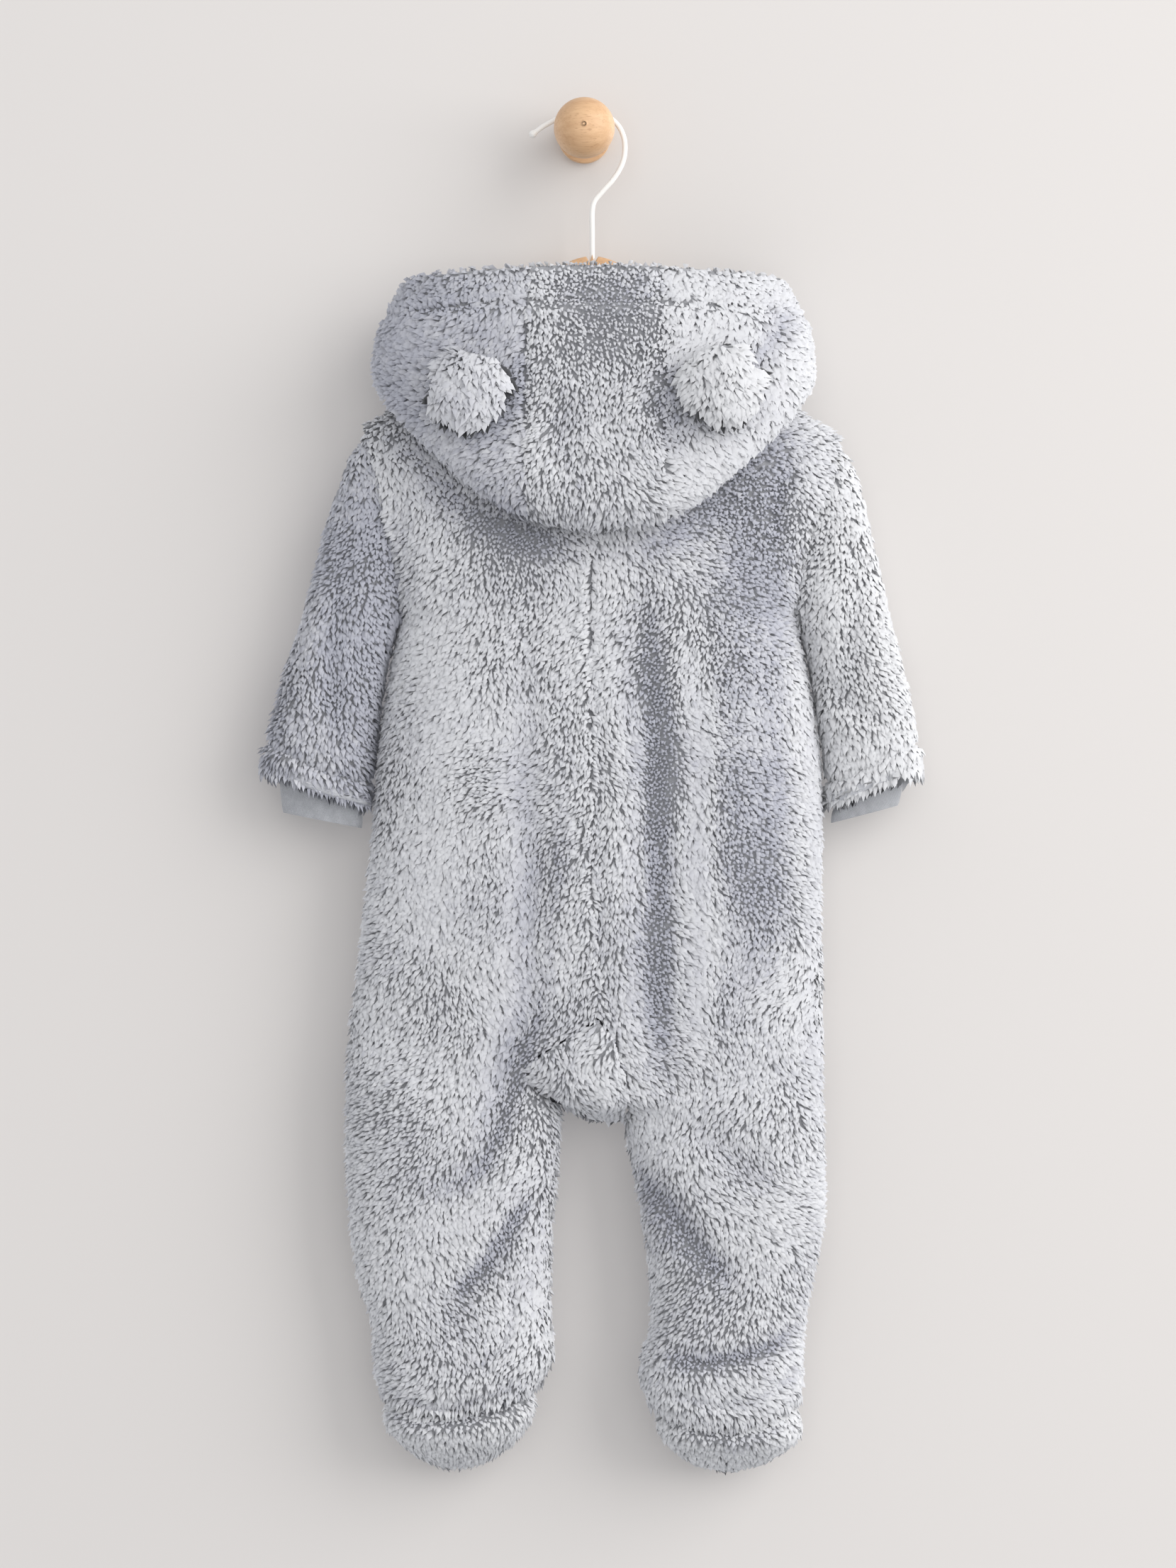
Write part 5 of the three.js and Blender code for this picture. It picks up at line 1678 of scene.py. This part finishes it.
HOOD_CUTS = Table(HOOD_CUT, (
    (0, -47, -127, 0, -75, -233, 0, -74, -76, -90, 6, 10, 6.5),
    (14, -47, -127, 20, -75, -231, 19, -74, -76, -89, 6, 10, 6.5),
    (27, -45, -124, 39, -74, -227, 38, -73, -77, -86, 6, 10, 6.5),
    (38, -41, -121, 61, -71, -215, 62, -69, -78, -78, 6, 10, 6),
    (46, -36, -118, 85, -65, -194, 88, -62, -80, -60, 6, 10, 5),
    (50, -29, -115, 108, -53, -170, 107, -47, -82, -32, 6, 9, 4),
    (51, -22, -115, 117, -31, -150, 105, -26, -86, 10, 6, 8, 3),
    (45, -14, -124, 84, -11, -144, 76, -9, -108, 75, 1, 4.5, 1),
    (18, -12, -157, 30, -10, -160, 22, -7, -147, 88, 0, 3.2, 0.3),
))
HOOK_ROUTE = (
    (-31.5, -2.8), (-24.5, 2.6), (-16.8, 6.9), (-9.0, 10.6), (-1.0, 12.1), (8.0, 11.0), (15.0, 7.8),
    (20.0, 2.9), (23.0, -4.4), (23.2, -13.0), (20.8, -20.8), (16.3, -27.8), (10.3, -34.6),
    (5.6, -40.6), (4.5, -46.0), (4.5, -58.0), (4.5, -83.0),
)
HANGER_EDGE = ((0, -71), (14, -75.5), (28, -91), (40, -117), (54, -141), (78, -154), (99, -169))

def streaks(*lines: tuple[tuple[tuple[float, float], ...], float, float]) -> tuple[Fold, ...]:
    """Lines of shade in the pile, each a route, a depth and a width."""
    return tuple(Fold(route, depth, width, shoulder=0.0) for route, depth, width in lines)


BODY_FOLDS = (
    Fold(((-30, -215), (-31, -330), (-29, -430), (-33, -505), (-45, -545), (-56, -585), (-76, -606),
          (-120, -614)), 2.5, 12),
    Fold(((31, -215), (36, -330), (39, -430), (39, -510), (50, -572)), 3.4, 15),
    Fold(((4, -240), (8, -360), (12, -480), (24, -560)), 1.2, 3.0),
    Fold(((-70, -250), (-78, -330), (-74, -420)), -1.6, 22),
    Fold(((88, -250), (92, -330), (86, -430)), -1.5, 20),
    Fold(((120, -185), (114, -202), (111, -218), (114, -247)), 2.6, 7),
    Fold(((-112, -190), (-106, -215), (-102, -250), (-98, -290)), 1.8, 9),
    Fold(((-24, -594), (-44, -632), (-62, -656), (-92, -692)), 3.4, 9),
    Fold(((-46, -636), (-42, -668), (-44, -690), (-60, -706), (-86, -712)), 2.2, 3.6),
    Fold(((-124, -712), (-98, -728), (-79, -731), (-60, -726), (-40, -719), (-16, -704)), 2.8, 3.2),
    Fold(((14, -578), (46, -616), (68, -643), (94, -666)), 3.4, 10),
    Fold(((50, -560), (84, -590), (116, -612)), 1.8, 12),
    Fold(((130, -672), (108, -696), (86, -703), (64, -705), (40, -702)), 4.0, 7),
    Fold(((34, -712), (60, -726), (88, -729), (112, -718), (130, -702)), 2.6, 3.4),
    Fold(((-38, -240), (-42, -330), (-36, -430)), 2.6, 16, Face.FRONT),
    Fold(((52, -230), (48, -320), (56, -420), (50, -520)), 3.0, 15, Face.FRONT),
    Fold(((-96, -220), (-90, -280), (-96, -350)), 2.2, 12, Face.FRONT),
    Fold(((-100, -580), (-70, -620), (-48, -650)), 2.6, 11, Face.FRONT),
    Fold(((106, -590), (82, -640), (60, -670)), 2.6, 11, Face.FRONT),
)
# Painted shade on the back's pile: the hood's shadow under its edge, dark lines in the folds of the back
# and legs, a broad darker band on the right side and the shade at the ankle crease; lines below 0 brush the
# pile flat instead.
BACK_SHADE = streaks(
    (((-134, -150), (-104, -182), (-82, -204), (-60, -224), (-30, -238), (0, -243)), 0.8, 11),
    (((-56, -228), (-30, -238), (4, -242), (36, -239), (62, -226)), 0.4, 8),
    (((10, -243), (44, -236), (64, -224), (89, -204), (112, -182), (142, -148)), 0.7, 10),
    (((-38, -235), (-37, -330), (-36, -430), (-40, -495), (-50, -530), (-58, -568), (-62, -590)),
     -1.0, 11),
    (((-15, -235), (-14, -330), (-14, -427), (-30, -521), (-42, -553), (-49, -580), (-63, -598),
          (-85, -606), (-118, -600)), 0.55, 6),
    (((-12, -574), (-34, -602), (-56, -618), (-79, -629), (-118, -636)), -0.6, 8),
    (((-24, -598), (-41, -622), (-52, -642), (-68, -660), (-92, -666)), 0.55, 8),
    (((-18, -606), (-30, -651), (-38, -690)), -0.5, 6),
    (((22, -235), (26, -330), (28, -430), (26, -500), (24, -545)), -0.7, 7),
    (((38, -235), (41, -330), (41, -430), (40, -505), (46, -560)), 0.85, 9),
    (((56, -250), (63, -330), (64, -430), (62, -500), (62, -556)), -1.2, 9),
    (((84, -120), (88, -240), (90, -360), (92, -480), (94, -600)), 0.38, 42),
    (((84, -90), (92, -150), (98, -220), (97, -300), (97, -370), (101, -450), (104, -530)), 0.9, 19),
    (((118, -262), (127, -340), (130, -420), (131, -520), (130, -610)), -0.9, 11),
    (((-72, -250), (-84, -330), (-86, -420), (-82, -500)), -0.45, 24),
    (((32, -592), (48, -625), (69, -651), (96, -670)), 0.6, 10),
    (((128, -672), (104, -697), (80, -705), (56, -707), (36, -702)), 0.6, 6),
)
# Painted shade on the hood's pile: the shadows beside and below the ears, a faint line left of the left ear
# and a darker band at the top of the hood; the lines below 0 brush the hood's sides flat.
UNDER_EARS = streaks(
    (((-34, -128), (-37, -146), (-42, -160), (-54, -173), (-74, -180)), 0.75, 8),
    (((56, -130), (50, -144), (52, -160), (62, -174), (84, -178)), 0.8, 8),
    (((-90, -132), (-87, -150), (-84, -168)), 0.3, 6),
    (((-40, -92), (12, -98), (62, -92)), 0.5, 13),
    (((118, -30), (110, -80), (102, -124), (88, -164), (60, -206)), -0.6, 24),
    (((-118, -30), (-108, -80), (-98, -126), (-80, -170)), -0.5, 22),
)
# Painted shade: the body's shadow on the inner edge of each sleeve.
UNDER_ARM_LEFT = streaks(
    (((-132, -180), (-118, -220), (-113, -260), (-113, -310), (-117, -350), (-121, -392)), 0.9, 18),
)
UNDER_ARM_RIGHT = streaks(
    (((150, -186), (136, -228), (127, -262), (127, -310), (132, -345), (137, -390)), 0.8, 10),
)
# Painted shade: the shadow under each leg's hem on the top of the foot.
UNDER_LEGS = streaks(
    (((-124, -724), (-108, -738), (-82, -743), (-50, -735), (-20, -720)), 0.95, 4.5),
    (((36, -728), (58, -744), (84, -751), (108, -745), (134, -722)), 0.8, 4.5),
)
HEM_LEFT = ((-190, -354), (-175, -366), (-155, -377), (-134, -385), (-116, -386))
SLEEVE_LEFT_FOLDS = (
    Fold(((-132, -210), (-140, -260), (-146, -310), (-144, -350)), 2.4, 9),
    Fold(((-118, -285), (-136, -318), (-160, -334)), 1.8, 8),
    Fold(HEM_LEFT, 2.2, 2.2, shoulder=0.0),
    Fold(HEM_LEFT, 2.2, 2.2, Face.FRONT, 0.0),
    Fold(((-125, -240), (-138, -290), (-150, -340)), 2.2, 10, Face.FRONT),
)
HEM_RIGHT = ((200, -352), (184, -365), (164, -376), (146, -383), (130, -384))
SLEEVE_RIGHT_FOLDS = (
    Fold(((150, -215), (156, -262), (152, -300), (160, -340)), 2.2, 9),
    Fold(((134, -300), (152, -330), (176, -338)), 2.4, 8),
    Fold(HEM_RIGHT, 2.2, 2.2, shoulder=0.0),
    Fold(HEM_RIGHT, 2.2, 2.2, Face.FRONT, 0.0),
    Fold(((140, -240), (152, -290), (166, -330)), 2.2, 10, Face.FRONT),
)
HOOD_FOLDS = (
    Fold(((122, -100), (108, -118), (96, -138), (88, -152)), 3.2, 8),
    Fold(((-108, -140), (-100, -160), (-88, -178)), 2.0, 5),
    Fold(((-118, -132), (-110, -150), (-100, -166)), 1.6, 4),
    Fold(((34, -150), (46, -172), (50, -196)), 3.0, 9),
    Fold(((-10, -150), (-12, -180), (-6, -208)), 2.0, 12),
    Fold(((-62, -98), (-84, -104), (-104, -102)), 1.5, 9),
)


def main() -> None:
    """Builds the suit from its camera to its last piece, and reports each one."""
    logging.basicConfig(level=logging.INFO, format="%(message)s")
    studio = Studio()
    studio.camera()
    build = Build()
    finishes = (
        ("pile", PlushPile()),
        # Painted shade: the pile's ground is darker than the wrong side of the same cloth, for the shade
        # between the tufts.
        ("ground", PlushGround("plush_ground", (0.32, 0.325, 0.345), (0.40, 0.405, 0.425))),
        ("wrong_side", PlushGround("plush_wrong_side", (0.42, 0.43, 0.46), (0.56, 0.57, 0.60))),
        ("jersey", Knit()), ("zip_tape", Tape()), ("beech", Beech()), ("backdrop", Backdrop()),
        ("zip_chain", Moulded("zip_chain", (0.25, 0.27, 0.31), (0.31, 0.33, 0.37), 0.0, 0.42)),
        ("zip_metal", Moulded("zip_metal", (0.62, 0.63, 0.65), (0.72, 0.72, 0.73), 1.0, 0.30)),
        ("hook_enamel", Moulded("hook_enamel", (0.84, 0.82, 0.79), (0.88, 0.87, 0.84), 0.0, 0.34, 0.3)),
    )
    build.finishes.update({name: finish.material() for name, finish in finishes})
    tailor = Tailor(build, Grower(build, seed=41))
    left = Half(Side.LEFT, BODY_LEFT, ARMHOLE)
    right = Half(Side.RIGHT, BODY_RIGHT, ARMHOLE)
    Suit(left, right, folds=BODY_FOLDS).make(tailor)
    Feet((Half(Side.LEFT, FOOT_LEFT), Half(Side.RIGHT, FOOT_RIGHT))).make(tailor)
    # Painted shade and light: the left sleeve's pile is painted dark, as in the body's shadow, and the
    # right's light, as it faces the light.
    Sleeve(left, SLEEVE_LEFT, CUFF_LEFT, SLEEVE_LEFT_FOLDS, UNDER_ARM_LEFT, tone=0.19).make(tailor)
    Sleeve(right, SLEEVE_RIGHT, CUFF_RIGHT, SLEEVE_RIGHT_FOLDS, UNDER_ARM_RIGHT, tone=1.1,
           lean=62.0, calm=0.4, cuff_shown=(96.0, 17.0)).make(tailor)
    hood = Hood(HOOD_CUTS, folds=HOOD_FOLDS)
    hood.make(tailor)
    Ears(hood).make(tailor)
    Zip(left).make(build)
    Hanger(HOOK_ROUTE, HANGER_EDGE).make(build)
    Peg().make(build)
    studio.backdrop(build)
    studio.lights()


if __name__ == "__main__":
    main()
